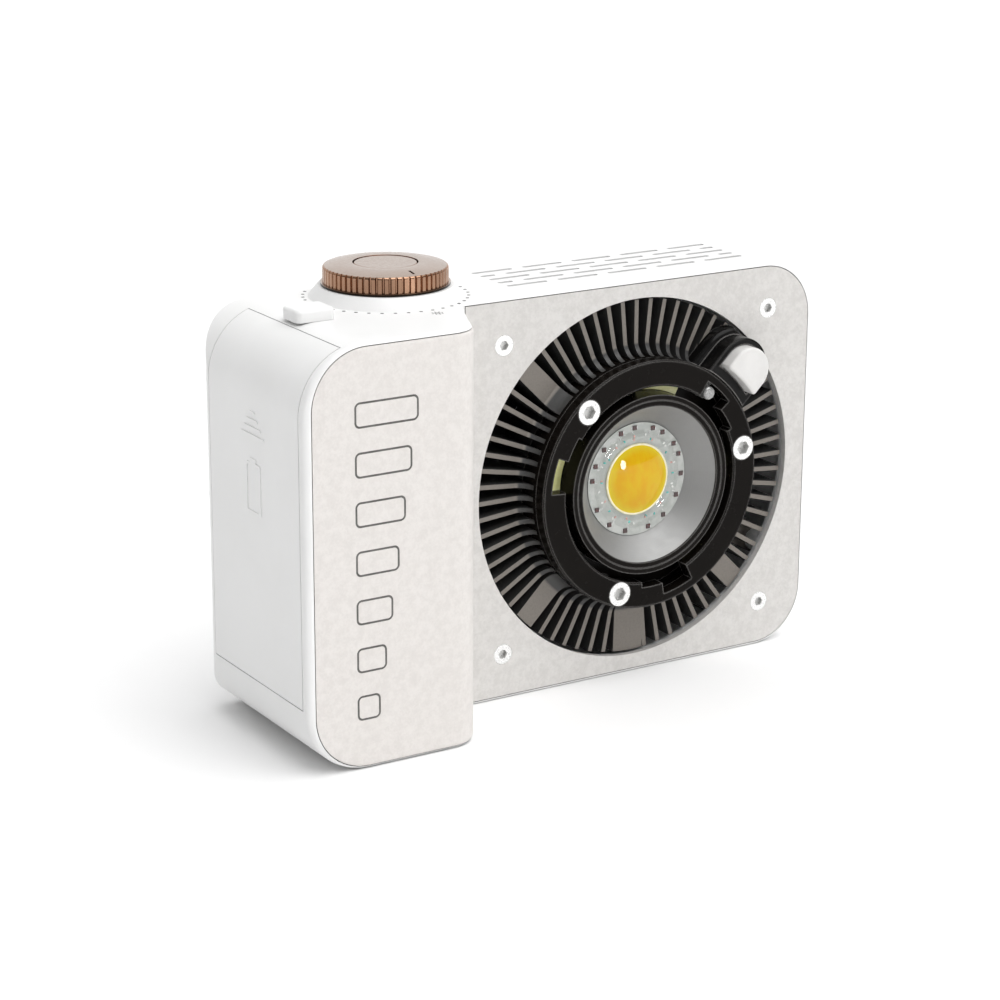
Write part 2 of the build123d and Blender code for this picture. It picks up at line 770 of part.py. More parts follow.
def push_rod():
    """Rod from the button down the encoder's hollow shaft."""
    return bar_z(DIAL_X, DIAL_Y, SHAFT_FOOT + 0.8, BUTTON_UNDERSIDE, SHAFT_BORE_R - 0.2)


def encoder_shaft():
    tube = bar_z(DIAL_X, DIAL_Y, SHAFT_FOOT, BUTTON_SEAT, SHAFT_R)
    return tube - bar_z(DIAL_X, DIAL_Y, SHAFT_FOOT - 1, BUTTON_SEAT + 1, SHAFT_BORE_R)


def encoder_body():
    half = 6.5
    roof = TOP - WALL - 0.1
    body = box(DIAL_X - half, DIAL_X + half, DIAL_Y - half, DIAL_Y + half, BOARD_TOP, roof)
    body += bar_z(DIAL_X, DIAL_Y, roof - 0.1, 118.2, BUSH_R)
    return body - bar_z(DIAL_X, DIAL_Y, SHAFT_FOOT - 0.5, TOP + 4, SHAFT_R + 0.05)


def encoder_nut():
    hexagon = RegularPolygon(NUT_ACROSS / 2, 6, major_radius=False)
    nut = slab_z(Pos(DIAL_X, DIAL_Y) * hexagon, TOP, TOP + NUT_H)
    return nut - bar_z(DIAL_X, DIAL_Y, TOP - 1, TOP + NUT_H + 1, BUSH_R + 0.02)


def control_board():
    return box(-60.0, -26.0, 0.0, 27.0, BOARD_TOP - BOARD_T, BOARD_TOP)


# ---------------------------------------------------------------- light head


def release_outline(side, hollow_r=None):
    """Rounded tongue along the release button's angle, drawn about the head's axis.

    A hollow radius cuts the tongue's inner end to an arc about that axis."""
    root = 30.0
    tongue = Pos((root + RELEASE_U) / 2, 0) * Rectangle(RELEASE_U - root, 2 * side)
    tongue += Pos(RELEASE_U, 0) * Circle(side)
    if hollow_r:
        tongue -= Circle(hollow_r)
    return Rot(0, 0, RELEASE_ANGLE) * tongue


def release_point(u, w):
    """X and Z of a point in the release button's own directions."""
    c = cos(radians(RELEASE_ANGLE))
    s = sin(radians(RELEASE_ANGLE))
    return HEAD_X + u * c - w * s, HEAD_Z + u * s + w * c


def lever_outline(room):
    """Strip from the lock pin to the release button, drawn about the head's axis."""
    half = PIN_R + room
    strip = Pos((PIN_U + LEVER_END_U) / 2, PIN_W) * Rectangle(LEVER_END_U - PIN_U, 2 * half)
    return Rot(0, 0, RELEASE_ANGLE) * (strip + Pos(PIN_U, PIN_W) * Circle(half))


def heat_sink():
    """Radial fins round a core; the fins curve forwards where they meet the lamp holder."""
    star = [Circle(SINK_CORE_R)]
    spokes = [(360 / FIN_COUNT * i, FIN_T) for i in range(FIN_COUNT)]
    spokes += [(angle, RIB_T) for angle in RIB_ANGLES]
    spokes.append((WIDE_RIB_ANGLE, WIDE_RIB_T))
    for angle, thickness in spokes:
        spoke = Pos((FIN_ROOT_R + SINK_R) / 2, 0) * Rectangle(SINK_R - FIN_ROOT_R, thickness)
        star.append(Rot(0, 0, angle) * spoke)
    fins = head_slab(Sketch() + star, RING_BACK, SINK_BACK)
    collar_r = SINK_CORE_R + 0.05
    lip = RING_BACK + 1.4
    foot = (collar_r + 4.0, SINK_FRONT)
    bend = ThreePointArc((collar_r, lip), (collar_r + 1.2, SINK_FRONT - 1.3), foot)
    profile = Polyline(
        foot,
        (SINK_R, SINK_FRONT),
        (SINK_R, SINK_BACK),
        (0, SINK_BACK),
        (0, SEAT),
        (collar_r, SEAT),
        (collar_r, lip),
    )
    turned = Pos(HEAD_X, 0, HEAD_Z) * revolve(make_face(bend + profile), axis=Axis.Y)
    sink = fins & turned
    for angle in EAR_ANGLES:
        ear = Pos((EAR_ROOT + EAR_R) / 2, 0) * Rectangle(EAR_R - EAR_ROOT, 2 * EAR_HALF_W)
        ear += Pos(EAR_R, 0) * Circle(EAR_HALF_W)
        sink += head_slab(Rot(0, 0, angle) * ear, EAR_FRONT, EAR_BACK)
        x, z = polar(EAR_R, angle)
        sink -= bar_y(x, z, 3.0, 9.0, M3_SHANK + 0.1)
    for x, z in fan_screw_places():
        sink -= bar_y(x, z, 3.0, SINK_BACK + 1, M3_SHANK + THREAD_ROOM)
    room = head_slab(release_outline(RELEASE_HALF_W + 0.3), RING_BACK - 1, RELEASE_BACK + 0.2)
    room += head_slab(skirt_outline(0.3), RELEASE_SKIRT_FRONT - 0.4, RELEASE_BACK + 0.2)
    return sink - room


def heat_sink_screws():
    screws = []
    for angle in EAR_ANGLES:
        x, z = polar(EAR_R, angle)
        screws.append(cap_screw_y(x, z, EAR_BACK, 0.4, M3_SHANK, M3_CAP_R, M3_CAP_H, -1))
    return screws


def ring_screw_places():
    return [polar(RING_SCREW_R, RING_SCREW_ANGLE + 120 * i) for i in range(3)]


def lamp_holder():
    """Black base with the tube round the reflector and the collar behind the bayonet."""
    floor_r = 20.0
    collar_r = INSULATOR_R + 0.2
    profile = [
        (floor_r, SEAT),
        (floor_r, HOLDER_FLOOR),
        (TUBE_IN_R, HOLDER_FLOOR),
        (TUBE_IN_R, TUBE_FRONT),
        (TUBE_OUT_R, TUBE_FRONT),
        (TUBE_OUT_R, HOLDER_FLOOR),
        (collar_r, HOLDER_FLOOR),
        (collar_r, RING_BACK),
        (SINK_CORE_R - 0.05, RING_BACK),
        (SINK_CORE_R - 0.05, SEAT),
    ]
    holder = turned_y(HEAD_X, HEAD_Z, profile)
    for x, z in ring_screw_places():
        holder += bar_y(x, z, RING_BACK, SEAT, POST_R)
        holder -= bar_y(x, z, RING_BACK - 1, SEAT - 0.6, M4_SHANK + THREAD_ROOM)
    return holder - head_slab(lever_outline(0.5), RING_BACK - 1, SPRING_SEAT)


def insulator_ring():
    """Four yellow insulating pads on the floor of the claws' groove."""
    face = Circle(INSULATOR_R) - Circle(TUBE_OUT_R + 0.15)
    ring = head_slab(face, INSULATOR_FRONT, HOLDER_FLOOR)
    for x, z in ring_screw_places():
        ring -= bar_y(x, z, INSULATOR_FRONT - 1, 0, POST_R + 0.2)
    pads = []
    for start, end in INSULATOR_ARCS:
        pad = ring & head_slab(wedge(start, end, INSULATOR_R), INSULATOR_FRONT, HOLDER_FLOOR)
        pads += pad.solids()
    return pads


def bayonet_ring():
    """Three stepped slots let a modifier's claws in; its screws stop their turn."""
    ring = head_slab(Circle(RING_OUT_R) - Circle(RING_IN_R), RING_FRONT, RING_BACK)
    rim = ring.edges().filter_by(GeomType.CIRCLE).group_by(Axis.Y)[0]
    ring = chamfer(rim, 0.45)
    for i in range(3):
        turn = 120 * i
        shallow = Circle(SLOT_SHALLOW_R)
        shallow &= wedge(SLOT_START + turn, SLOT_STEP + turn + 0.5, SLOT_DEEP_R)
        deep = Circle(SLOT_DEEP_R) & wedge(SLOT_STEP + turn, SLOT_END + turn, SLOT_DEEP_R)
        ring -= head_slab(shallow + deep, RING_FRONT - 1, RING_BACK + 1)
    for x, z in ring_screw_places():
        ring -= sink_y(x, z, RING_SCREW_FACE, 0, M4_SHANK, M4_HEAD, M4_HEAD_H)
    return ring


def bayonet_screws():
    return [
        screw_y(x, z, RING_SCREW_FACE, SEAT - 1.0, M4_SHANK, M4_HEAD, M4_HEAD_H, M4_KEY)
        for x, z in ring_screw_places()
    ]


def skirt_outline(room):
    """Foot of the release button's housing, kept inside the plate's opening."""
    limit = Circle(OPENING_R - 0.9 + room)
    return release_outline(RELEASE_HALF_W + RELEASE_SKIRT + room) & limit


def release_housing():
    body = head_slab(release_outline(RELEASE_HALF_W), RING_FRONT, RELEASE_BACK)
    body = fillet(body.faces().sort_by(Axis.Y)[0].edges(), 0.6)
    skirt = head_slab(skirt_outline(0), RELEASE_SKIRT_FRONT, RELEASE_BACK)
    body += fillet(skirt.faces().sort_by(Axis.Y)[0].edges(), 1.5)
    body -= head_slab(Circle(RING_OUT_R + 0.1), RING_FRONT - 1, 0)
    gap = 0.15
    pocket = release_outline(BUTTON_HALF_W + gap, BUTTON_HOLLOW_R - gap)
    body -= head_slab(pocket, RING_FRONT - 1, SPRING_SEAT)
    return body - head_slab(lever_outline(0.4), BUTTON_BACK - 0.5, SPRING_SEAT)


def release_button():
    outline_2d = release_outline(BUTTON_HALF_W, BUTTON_HOLLOW_R)
    button = head_slab(outline_2d, BUTTON_FRONT, BUTTON_BACK)
    axis_point = (HEAD_X, (BUTTON_FRONT + BUTTON_BACK) / 2, HEAD_Z)
    upright = [e for e in button.edges().filter_by(Axis.Y) if e.geom_type == GeomType.LINE]
    upright.sort(key=lambda e: (e.center() - Vector(*axis_point)).length)
    button = fillet(upright[:2], 0.9)
    button = fillet(button.faces().sort_by(Axis.Y)[0].edges(), 0.8)
    x, z = release_point(RELEASE_U, SPRING_W)
    return button - bar_y(x, z, SPRING_TOP, BUTTON_BACK + 1, 2.2)


def lock_pin():
    """Pin through the bayonet slot, on the lever that the release button pushes."""
    x, z = release_point(PIN_U, PIN_W)
    lever = head_slab(lever_outline(0), BUTTON_BACK, BUTTON_BACK + LEVER_T)
    pin = bar_y(x, z, PIN_FRONT, BUTTON_BACK + 0.1, PIN_R)
    pin = fillet(pin.faces().sort_by(Axis.Y)[0].edges(), 0.8)
    return pin + lever


def release_spring():
    x, z = release_point(RELEASE_U, SPRING_W)
    gap = 0.02
    length = SPRING_SEAT - SPRING_TOP - 2 * gap
    return Pos(x, SPRING_SEAT - gap, z) * Rot(90, 0, 0) * coil(0.2, 1.5, 6, length)


def reflector():
    """Shallow cone from the emitter out to the tube."""
    profile = [
        (COB_COVER_R + 0.1, -4.3),
        (COB_COVER_R + 0.1, -5.3),
        (CONE_R, CONE_FRONT),
        (TUBE_IN_R - 0.1, CONE_FRONT),
        (TUBE_IN_R - 0.1, CONE_FRONT + 0.8),
        (18.0, -4.3),
    ]
    return turned_y(HEAD_X, HEAD_Z, profile)


def reflector_bezel():
    return head_slab(Circle(TUBE_IN_R - 0.05) - Circle(CONE_R), CONE_FRONT - 0.6, CONE_FRONT)


def cob_board():
    return bar_y(HEAD_X, HEAD_Z, COB_BACK, SEAT, COB_BOARD_R)


def cob_cover():
    return bar_y(HEAD_X, HEAD_Z, COB_FRONT, COB_BACK, COB_COVER_R)


def phosphor_dome():
    """Low spherical cap on a short straight rim."""
    rim = 0.4
    ball_r = (DOME_R**2 + DOME_RISE**2) / (2 * DOME_RISE)
    ball = Pos(HEAD_X, COB_FRONT - rim - DOME_RISE + ball_r, HEAD_Z) * Sphere(ball_r)
    return ball & bar_y(HEAD_X, HEAD_Z, COB_FRONT - 5, COB_FRONT, DOME_R)


def led_chips():
    chips = []
    for angle in CHIP_ANGLES:
        x, z = polar(CHIP_ORBIT_R, angle)
        chips.append(
            box(x - CHIP / 2, x + CHIP / 2, COB_FRONT - 0.35, COB_FRONT, z - CHIP / 2, z + CHIP / 2)
        )
    return chips


# ---------------------------------------------------------------- fan


def fan_screw_places():
    return [(HEAD_X + i * FAN_HOLE, HEAD_Z + j * FAN_HOLE) for i in (-1, 1) for j in (-1, 1)]


def fan_frame():
    half = FAN / 2
    face = rectangle(HEAD_X - half, HEAD_X + half, HEAD_Z - half, HEAD_Z + half, 4.0)
    frame = slab_y(face, SINK_BACK, FAN_BACK)
    frame -= bar_y(HEAD_X, HEAD_Z, SINK_BACK - 1, FAN_BACK + 1, FAN_BORE_R)
    for angle in (20, 110, 200, 290):
        strut = Rot(0, 0, angle) * Pos(25.0, 0) * Rectangle(24.5, 3.0)
        frame += head_slab(strut, HUB_FACE, FAN_BACK)
    frame += bar_y(HEAD_X, HEAD_Z, HUB_FACE, FAN_BACK, CUP_R - 1.0)
    frame += bar_y(HEAD_X, HEAD_Z, BEARING_FRONT, HUB_FACE + 0.1, BEARING_R)
    frame -= bar_y(HEAD_X, HEAD_Z, BEARING_FRONT - 1, HUB_FACE + 0.4, FAN_PIN_R + 0.05)
    for x, z in fan_screw_places():
        frame -= bar_y(x, z, SINK_BACK - 1, FAN_BACK + 1, M3_SHANK + 0.1)
    return frame


def fan_rotor():
    """Cup with pitched blades, on a pin that runs in the frame's bearing."""
    bore_r = CUP_R - CUP_WALL
    floor = CUP_FRONT + CUP_WALL
    cup = [(0, CUP_FRONT), (CUP_R, CUP_FRONT), (CUP_R, CUP_BACK), (bore_r, CUP_BACK)]
    cup += [(bore_r, floor), (FAN_PIN_R, floor), (FAN_PIN_R, HUB_FACE - 0.1), (0, HUB_FACE - 0.1)]
    rotor = turned_y(HEAD_X, HEAD_Z, cup)
    pitch = 36
    annulus = head_slab(Circle(FAN_BORE_R - 0.7) - Circle(CUP_R - 0.5), 13.0, 22.5)
    for i in range(BLADE_COUNT):
        blade = Pos(25.0, 18.0, 0) * Rot(pitch, 0, 0) * Box(25.0, CUP_WALL, 13.0)
        blade = Rot(0, 360 / BLADE_COUNT * i, 0) * blade
        rotor += (Pos(HEAD_X, 0, HEAD_Z) * blade) & annulus
    return rotor


def fan_screws():
    return [
        cap_screw_y(x, z, FAN_BACK, 4.0, M3_SHANK, M3_CAP_R, M3_CAP_H, -1)
        for x, z in fan_screw_places()
    ]


# ---------------------------------------------------------------- electronics


def driver_board():
    return box(DRIVER_X - BOARD_T, DRIVER_X, -6.0, 26.0, 14.0, 98.0)


def driver_inductor():
    flange_r = 7.0
    core_r = 5.2
    profile = [(0, 0), (flange_r, 0), (flange_r, 1.5), (core_r, 1.5), (core_r, 6.5)]
    profile += [(flange_r, 6.5), (flange_r, 8), (0, 8)]
    spool = turned_y(0, 0, profile)
    return Pos(DRIVER_X, 16.0, 34.0) * Rot(0, 0, -90) * spool


def driver_capacitors():
    upright = (Align.CENTER, Align.CENTER, Align.MIN)
    can = Rot(0, 90, 0) * Cylinder(4.0, 8.5, align=upright)
    return [Pos(DRIVER_X, 17.0, z) * can for z in (56.0, 67.0, 78.0)]


def key_places():
    return [REAR_X + KEY_PITCH * i for i in (-1, 0, 1)]


def rear_board():
    return box(-84.0, -40.0, REAR_BOARD_BACK - BOARD_T, REAR_BOARD_BACK, 28.0, 98.0)


def display_outline(edge, corner):
    """The display's opening, made wider by the edge on every side."""
    across = DISPLAY_W / 2 + edge
    up = DISPLAY_H / 2 + edge
    return rectangle(REAR_X - across, REAR_X + across, DISPLAY_Z - up, DISPLAY_Z + up, corner)


def display_module():
    return slab_y(display_outline(2.0, 0.5), REAR_BOARD_BACK, BACK - WALL - 0.4)


def display_window():
    face = display_outline(WINDOW_EDGE - 0.15, 2.35)
    return slab_y(face, BACK - WINDOW_T, BACK - 0.1)


def rear_key(x):
    """Round key with a wide foot behind the cover."""
    key = bar_y(x, KEY_Z, 28.4, BACK - 0.1, KEY_R)
    key = fillet(key.faces().sort_by(Axis.Y)[-1].edges(), 0.5)
    return key + bar_y(x, KEY_Z, 28.4, 29.4, KEY_R + 1.0)


def key_switches():
    return [
        box(x - 3, x + 3, REAR_BOARD_BACK, 26.4, KEY_Z - 3, KEY_Z + 3)
        + bar_y(x, KEY_Z, 26.3, 27.6, 1.5)
        for x in key_places()
    ]


def power_socket():
    """Flat oval socket shell with its tongue."""
    middle = Pos(REAR_X, SOCKET_Z)
    thick = 0.35
    shell = slab_y(middle * SlotOverall(SOCKET_W, SOCKET_H), REAR_BOARD_BACK, BACK - 0.2)
    mouth = SlotOverall(SOCKET_W - 2 * thick, SOCKET_H - 2 * thick)
    shell -= slab_y(middle * mouth, REAR_BOARD_BACK + 1.0, BACK + 1)
    tongue = slab_y(middle * Rectangle(6.7, 0.7), REAR_BOARD_BACK + 0.9, BACK - 1.2)
    return shell + tongue


# ---------------------------------------------------------------- files


def main():
    keys = key_places()
    nodes = {
        "front_case": front_case(),
        "rear_cover": rear_cover(),
        "rear_cover_screws": rear_cover_screws(),
        "front_plate": front_plate(),
        "front_plate_screws": front_plate_screws(),
        "grip_panel": grip_panel(),
        "tripod_insert": tripod_insert(),
        "battery_door": battery_door(),
        "door_latch": door_latch(),
        "latch_spring": latch_spring(),
        "battery_bay": battery_bay(),
        "battery_pack": battery_pack(),
        "battery_contacts": battery_contacts(),
        "dial": dial(),
        "dial_button": dial_button(),
        "push_rod": push_rod(),
        "encoder_shaft": encoder_shaft(),
        "encoder_body": encoder_body(),
        "encoder_nut": encoder_nut(),
        "control_board": control_board(),
        "heat_sink": heat_sink(),
        "heat_sink_screws": heat_sink_screws(),
        "lamp_holder": lamp_holder(),
        "insulator_ring": insulator_ring(),
        "bayonet_ring": bayonet_ring(),
        "bayonet_screws": bayonet_screws(),
        "release_housing": release_housing(),
        "release_button": release_button(),
        "lock_pin": lock_pin(),
        "release_spring": release_spring(),
        "reflector": reflector(),
        "reflector_bezel": reflector_bezel(),
        "cob_board": cob_board(),
        "cob_cover": cob_cover(),
        "phosphor_dome": phosphor_dome(),
        "led_chips": led_chips(),
        "fan_frame": fan_frame(),
        "fan_rotor": fan_rotor(),
        "fan_screws": fan_screws(),
        "driver_board": driver_board(),
        "driver_inductor": driver_inductor(),
        "driver_capacitors": driver_capacitors(),
        "rear_board": rear_board(),
        "display_module": display_module(),
        "display_window": display_window(),
        "power_button": rear_key(keys[0]),
        "mode_button": rear_key(keys[1]),
        "colour_button": rear_key(keys[2]),
        "key_switches": key_switches(),
        "power_socket": power_socket(),
    }
    os.makedirs("parts", exist_ok=True)
    for name, shape in nodes.items():
        if isinstance(shape, list):
            shape = Compound(children=shape)
        export_step(shape, f"parts/{name}.step")


main()
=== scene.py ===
import json
from math import cos, pi, radians, sin

import bmesh
import bpy
from mathutils import Matrix, Vector


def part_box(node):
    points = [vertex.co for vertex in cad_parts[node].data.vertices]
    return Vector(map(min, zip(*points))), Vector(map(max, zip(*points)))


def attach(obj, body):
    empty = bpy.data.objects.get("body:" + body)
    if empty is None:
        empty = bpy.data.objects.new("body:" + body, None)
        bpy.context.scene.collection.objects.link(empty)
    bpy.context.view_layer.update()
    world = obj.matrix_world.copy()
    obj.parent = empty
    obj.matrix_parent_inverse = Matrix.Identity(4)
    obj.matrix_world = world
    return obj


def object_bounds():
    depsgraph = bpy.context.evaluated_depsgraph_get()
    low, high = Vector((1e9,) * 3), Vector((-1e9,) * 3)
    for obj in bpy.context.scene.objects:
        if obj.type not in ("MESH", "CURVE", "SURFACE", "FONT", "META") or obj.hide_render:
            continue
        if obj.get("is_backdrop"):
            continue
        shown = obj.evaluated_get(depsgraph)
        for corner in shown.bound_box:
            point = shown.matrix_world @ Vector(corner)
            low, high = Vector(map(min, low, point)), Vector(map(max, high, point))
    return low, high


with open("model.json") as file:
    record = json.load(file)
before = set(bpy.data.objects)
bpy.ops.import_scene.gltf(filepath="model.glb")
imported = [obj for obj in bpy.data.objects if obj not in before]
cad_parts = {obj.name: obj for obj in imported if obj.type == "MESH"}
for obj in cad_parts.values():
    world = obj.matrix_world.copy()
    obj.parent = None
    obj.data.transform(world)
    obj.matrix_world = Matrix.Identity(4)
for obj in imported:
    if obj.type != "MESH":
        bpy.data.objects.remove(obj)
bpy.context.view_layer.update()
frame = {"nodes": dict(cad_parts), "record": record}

# Looks of the compact spotlight: finishes for every CAD node, small printed and
# soldered details, a studio floor with soft light, and the camera. Metres.

MM = 0.001
nodes = frame["nodes"]

# ---- places taken from the CAD ----
HEAD_X, HEAD_Z = 30.0 * MM, 58.1 * MM
DIAL_X, DIAL_Y = -40.2 * MM, 14.6 * MM
DIAL_FLANGE = 119.9 * MM
CASE_TOP = 116.0 * MM
GRIP_FRONT = -31.5 * MM
GROOVE_DEPTH = 0.205 * MM
REAR_FACE = 32.4 * MM
COB_FRONT = -5.5 * MM
RING_SCREW_FACE = -13.15 * MM
PLATE_SCREW_FACE = -5.7 * MM
REAR_X, DISPLAY_Z, KEY_Z = -62.0 * MM, 84.0 * MM, 58.0 * MM


# ---------------------------------------------------------------- finishes


class Finish:
    """One procedural material, wired node by node round a Principled shader."""

    def __init__(self, name, **shader):
        self.material = bpy.data.materials.new(name)
        self.material.use_nodes = True
        self.tree = self.material.node_tree
        self.tree.nodes.clear()
        self.shader = self.tree.nodes.new("ShaderNodeBsdfPrincipled")
        output = self.tree.nodes.new("ShaderNodeOutputMaterial")
        self.tree.links.new(self.shader.outputs["BSDF"], output.inputs["Surface"])
        coordinates = self.tree.nodes.new("ShaderNodeTexCoord")
        self.place = coordinates.outputs["Object"]
        self.normal = coordinates.outputs["Normal"]
        self.surface = None
        for socket, value in shader.items():
            self.shader.inputs[socket.replace("_", " ")].default_value = value

    def wire(self, socket, value):
        if isinstance(value, bpy.types.NodeSocket):
            self.tree.links.new(value, socket)
        else:
            socket.default_value = value

    def math(self, operation, a, b=0.0):
        node = self.tree.nodes.new("ShaderNodeMath")
        node.operation = operation
        self.wire(node.inputs[0], a)
        self.wire(node.inputs[1], b)
        return node.outputs[0]

    def noise(self, scale, detail=3.0, rough=0.5, place=None, stretch=None):
        node = self.tree.nodes.new("ShaderNodeTexNoise")
        node.inputs["Scale"].default_value = scale
        node.inputs["Detail"].default_value = detail
        node.inputs["Roughness"].default_value = rough
        place = place or self.place
        if stretch:
            mapping = self.tree.nodes.new("ShaderNodeMapping")
            mapping.inputs["Scale"].default_value = stretch
            self.tree.links.new(place, mapping.inputs["Vector"])
            place = mapping.outputs["Vector"]
        self.tree.links.new(place, node.inputs["Vector"])
        return node.outputs["Fac"]

    def cells(self, scale):
        node = self.tree.nodes.new("ShaderNodeTexVoronoi")
        node.inputs["Scale"].default_value = scale
        self.tree.links.new(self.place, node.inputs["Vector"])
        return node.outputs["Distance"]

    def radius(self, centre, axis):
        """Distance from an axis along Y or Z through the centre."""
        shift = self.tree.nodes.new("ShaderNodeVectorMath")
        shift.operation = "SUBTRACT"
        shift.inputs[1].default_value = centre
        self.tree.links.new(self.place, shift.inputs[0])
        flat = self.tree.nodes.new("ShaderNodeVectorMath")
        flat.operation = "MULTIPLY"
        flat.inputs[1].default_value = (1, 1, 0) if axis == "Z" else (1, 0, 1)
        self.tree.links.new(shift.outputs[0], flat.inputs[0])
        length = self.tree.nodes.new("ShaderNodeVectorMath")
        length.operation = "LENGTH"
        self.tree.links.new(flat.outputs[0], length.inputs[0])
        return length.outputs["Value"]

    def rings(self, centre, axis, pitch):
        """Fine concentric turning marks."""
        node = self.tree.nodes.new("ShaderNodeTexNoise")
        node.noise_dimensions = "1D"
        node.inputs["Detail"].default_value = 2.0
        node.inputs["Scale"].default_value = 1.0
        across = self.math("DIVIDE", self.radius(centre, axis), pitch)
        self.tree.links.new(across, node.inputs["W"])
        return node.outputs["Fac"]

    def step(self, value, low, high, start=0.0, end=1.0):
        """Maps low..high onto start..end, smoothly and clamped."""
        node = self.tree.nodes.new("ShaderNodeMapRange")
        node.interpolation_type = "SMOOTHSTEP"
        self.wire(node.inputs["Value"], value)
        node.inputs["From Min"].default_value = low
        node.inputs["From Max"].default_value = high
        node.inputs["To Min"].default_value = start
        node.inputs["To Max"].default_value = end
        return node.outputs["Result"]

    def split(self, vector, axis):
        node = self.tree.nodes.new("ShaderNodeSeparateXYZ")
        self.tree.links.new(vector, node.inputs[0])
        return node.outputs[axis]

    def facing(self, axis, low, high):
        """1 where the object-space normal leans along the signed axis."""
        value = self.split(self.normal, axis[-1])
        if axis[0] == "-":
            value = self.math("MULTIPLY", value, -1.0)
        return self.step(value, low, high)

    def blend(self, share, a, b):
        node = self.tree.nodes.new("ShaderNodeMix")
        node.data_type = "RGBA"
        self.wire(node.inputs["Factor"], share)
        for socket, value in ((node.inputs[6], a), (node.inputs[7], b)):
            self.wire(socket, value if isinstance(value, bpy.types.NodeSocket) else (*value, 1.0))
        return node.outputs[2]

    def colour(self, value):
        value = value if isinstance(value, bpy.types.NodeSocket) else (*value, 1.0)
        self.wire(self.shader.inputs["Base Color"], value)
        return self

    def painted_seam_shade(self, tone, dark, reach=0.9 * MM):
        """Painted shade: darkens the colour inside gaps narrower than the reach."""
        node = self.tree.nodes.new("ShaderNodeAmbientOcclusion")
        node.samples = 6
        node.inputs["Distance"].default_value = reach
        return self.blend(self.step(node.outputs["AO"], 0.08, 0.5), dark, tone)

    def edges(self, tone, edge_highlight, reach=0.7 * MM):
        """Painted highlight: paler colour along outer edges, where a rounded normal leaves the true one."""
        soft = self.tree.nodes.new("ShaderNodeBevel")
        soft.samples = 4
        soft.inputs["Radius"].default_value = reach
        true = self.tree.nodes.new("ShaderNodeNewGeometry")
        dot = self.tree.nodes.new("ShaderNodeVectorMath")
        dot.operation = "DOT_PRODUCT"
        self.tree.links.new(soft.outputs[0], dot.inputs[0])
        self.tree.links.new(true.outputs["Normal"], dot.inputs[1])
        return self.blend(self.step(dot.outputs["Value"], 0.84, 0.985), edge_highlight, tone)

    def rough(self, pattern, low, high):
        self.wire(self.shader.inputs["Roughness"], self.step(pattern, 0.3, 0.7, low, high))
        return self

    def bump(self, height, depth, strength=1.0):
        """Adds relief of the given depth; each call stacks on the one before."""
        node = self.tree.nodes.new("ShaderNodeBump")
        node.inputs["Strength"].default_value = strength
        node.inputs["Distance"].default_value = depth
        self.tree.links.new(height, node.inputs["Height"])
        if self.surface:
            self.tree.links.new(self.surface, node.inputs["Normal"])
        self.surface = node.outputs["Normal"]
        self.wire(self.shader.inputs["Normal"], self.surface)
        return self


def plain(name, light, dark, rough, patch=60.0, grain=1800.0, depth=0.012, **shader):
    """Finish with soft blotches of colour, uneven gloss and a fine grain."""
    f = Finish(name, **shader)
    blotch = f.noise(patch, 4.0, 0.6)
    fine = f.noise(grain, 3.0, 0.6)
    f.colour(f.blend(f.step(blotch, 0.35, 0.65), dark, light))
    f.rough(f.noise(patch * 4, 3.0, 0.6), *rough)
    f.bump(fine, depth * MM)
    return f


def case_white():
    """Moulded white plastic with a fine spark-eroded grain and painted shade in its seams."""
    f = Finish("case_white")
    tone = f.blend(f.step(f.noise(30.0, 4.0, 0.6), 0.35, 0.65), (0.852, 0.852, 0.846), (0.878, 0.878, 0.874))
    # the grey inside narrow gaps is painted shade
    f.colour(f.painted_seam_shade(tone, (0.36, 0.36, 0.36)))
    f.rough(f.noise(120.0, 3.0, 0.6), 0.34, 0.44)
    f.bump(f.noise(1800.0, 3.0, 0.6), 0.012 * MM)
    f.bump(f.noise(4200.0, 2.0, 0.5), 0.01 * MM)
    return f


def mottled(name, light, dark, rough, cell, cell_depth):
    """Soft blotches a few millimetres across over a finer felted grain, with painted shade in the seams."""
    f = Finish(name, Specular_IOR_Level=0.35)
    broad = f.noise(420.0, 5.0, 0.6)
    fine = f.noise(1300.0, 3.0, 0.6)
    share = f.math("ADD", f.math("MULTIPLY", broad, 0.6), f.math("MULTIPLY", fine, 0.4))
    # the warm grey inside narrow gaps is painted shade
    f.colour(f.painted_seam_shade(f.blend(f.step(share, 0.36, 0.64), dark, light), (0.27, 0.255, 0.24)))
    f.rough(fine, *rough)
    f.bump(broad, 0.04 * MM)
    f.bump(f.cells(cell), cell_depth * MM)
    f.bump(fine, 0.03 * MM)
    return f


def satin_black(name, light, dark, edge_highlight, gloss, specular):
    """Black finish with a fine grain, its outer edges painted paler as a painted highlight."""
    f = Finish(name, Specular_IOR_Level=specular)
    tone = f.blend(f.noise(90.0, 4.0, 0.6), dark, light)
    # paler outer edges: painted highlight
    f.colour(f.edges(tone, edge_highlight))
    f.rough(f.noise(360.0, 3.0, 0.6), *gloss)
    f.bump(f.noise(2600.0, 3.0, 0.6), 0.006 * MM)
    return f


def black_metal():
    """Black anodised metal, slightly warm."""
    # the third colour is a painted highlight along the outer edges
    light, dark, edge_highlight = (0.0075, 0.006, 0.005), (0.0045, 0.0036, 0.003), (0.15, 0.145, 0.14)
    return satin_black("black_metal", light, dark, edge_highlight, (0.2, 0.28), 0.07)


def housing_black():
    """Glossy black plastic of the release button's housing."""
    # the third colour is a painted highlight along the outer edges
    light, dark, edge_highlight = (0.0075, 0.007, 0.0068), (0.005, 0.005, 0.005), (0.30, 0.29, 0.28)
    return satin_black("housing_black", light, dark, edge_highlight, (0.16, 0.24), 0.14)


def plate_grey():
    return mottled("plate_grey", (0.69, 0.673, 0.652), (0.61, 0.593, 0.572), (0.5, 0.62), 2300.0, 0.01)


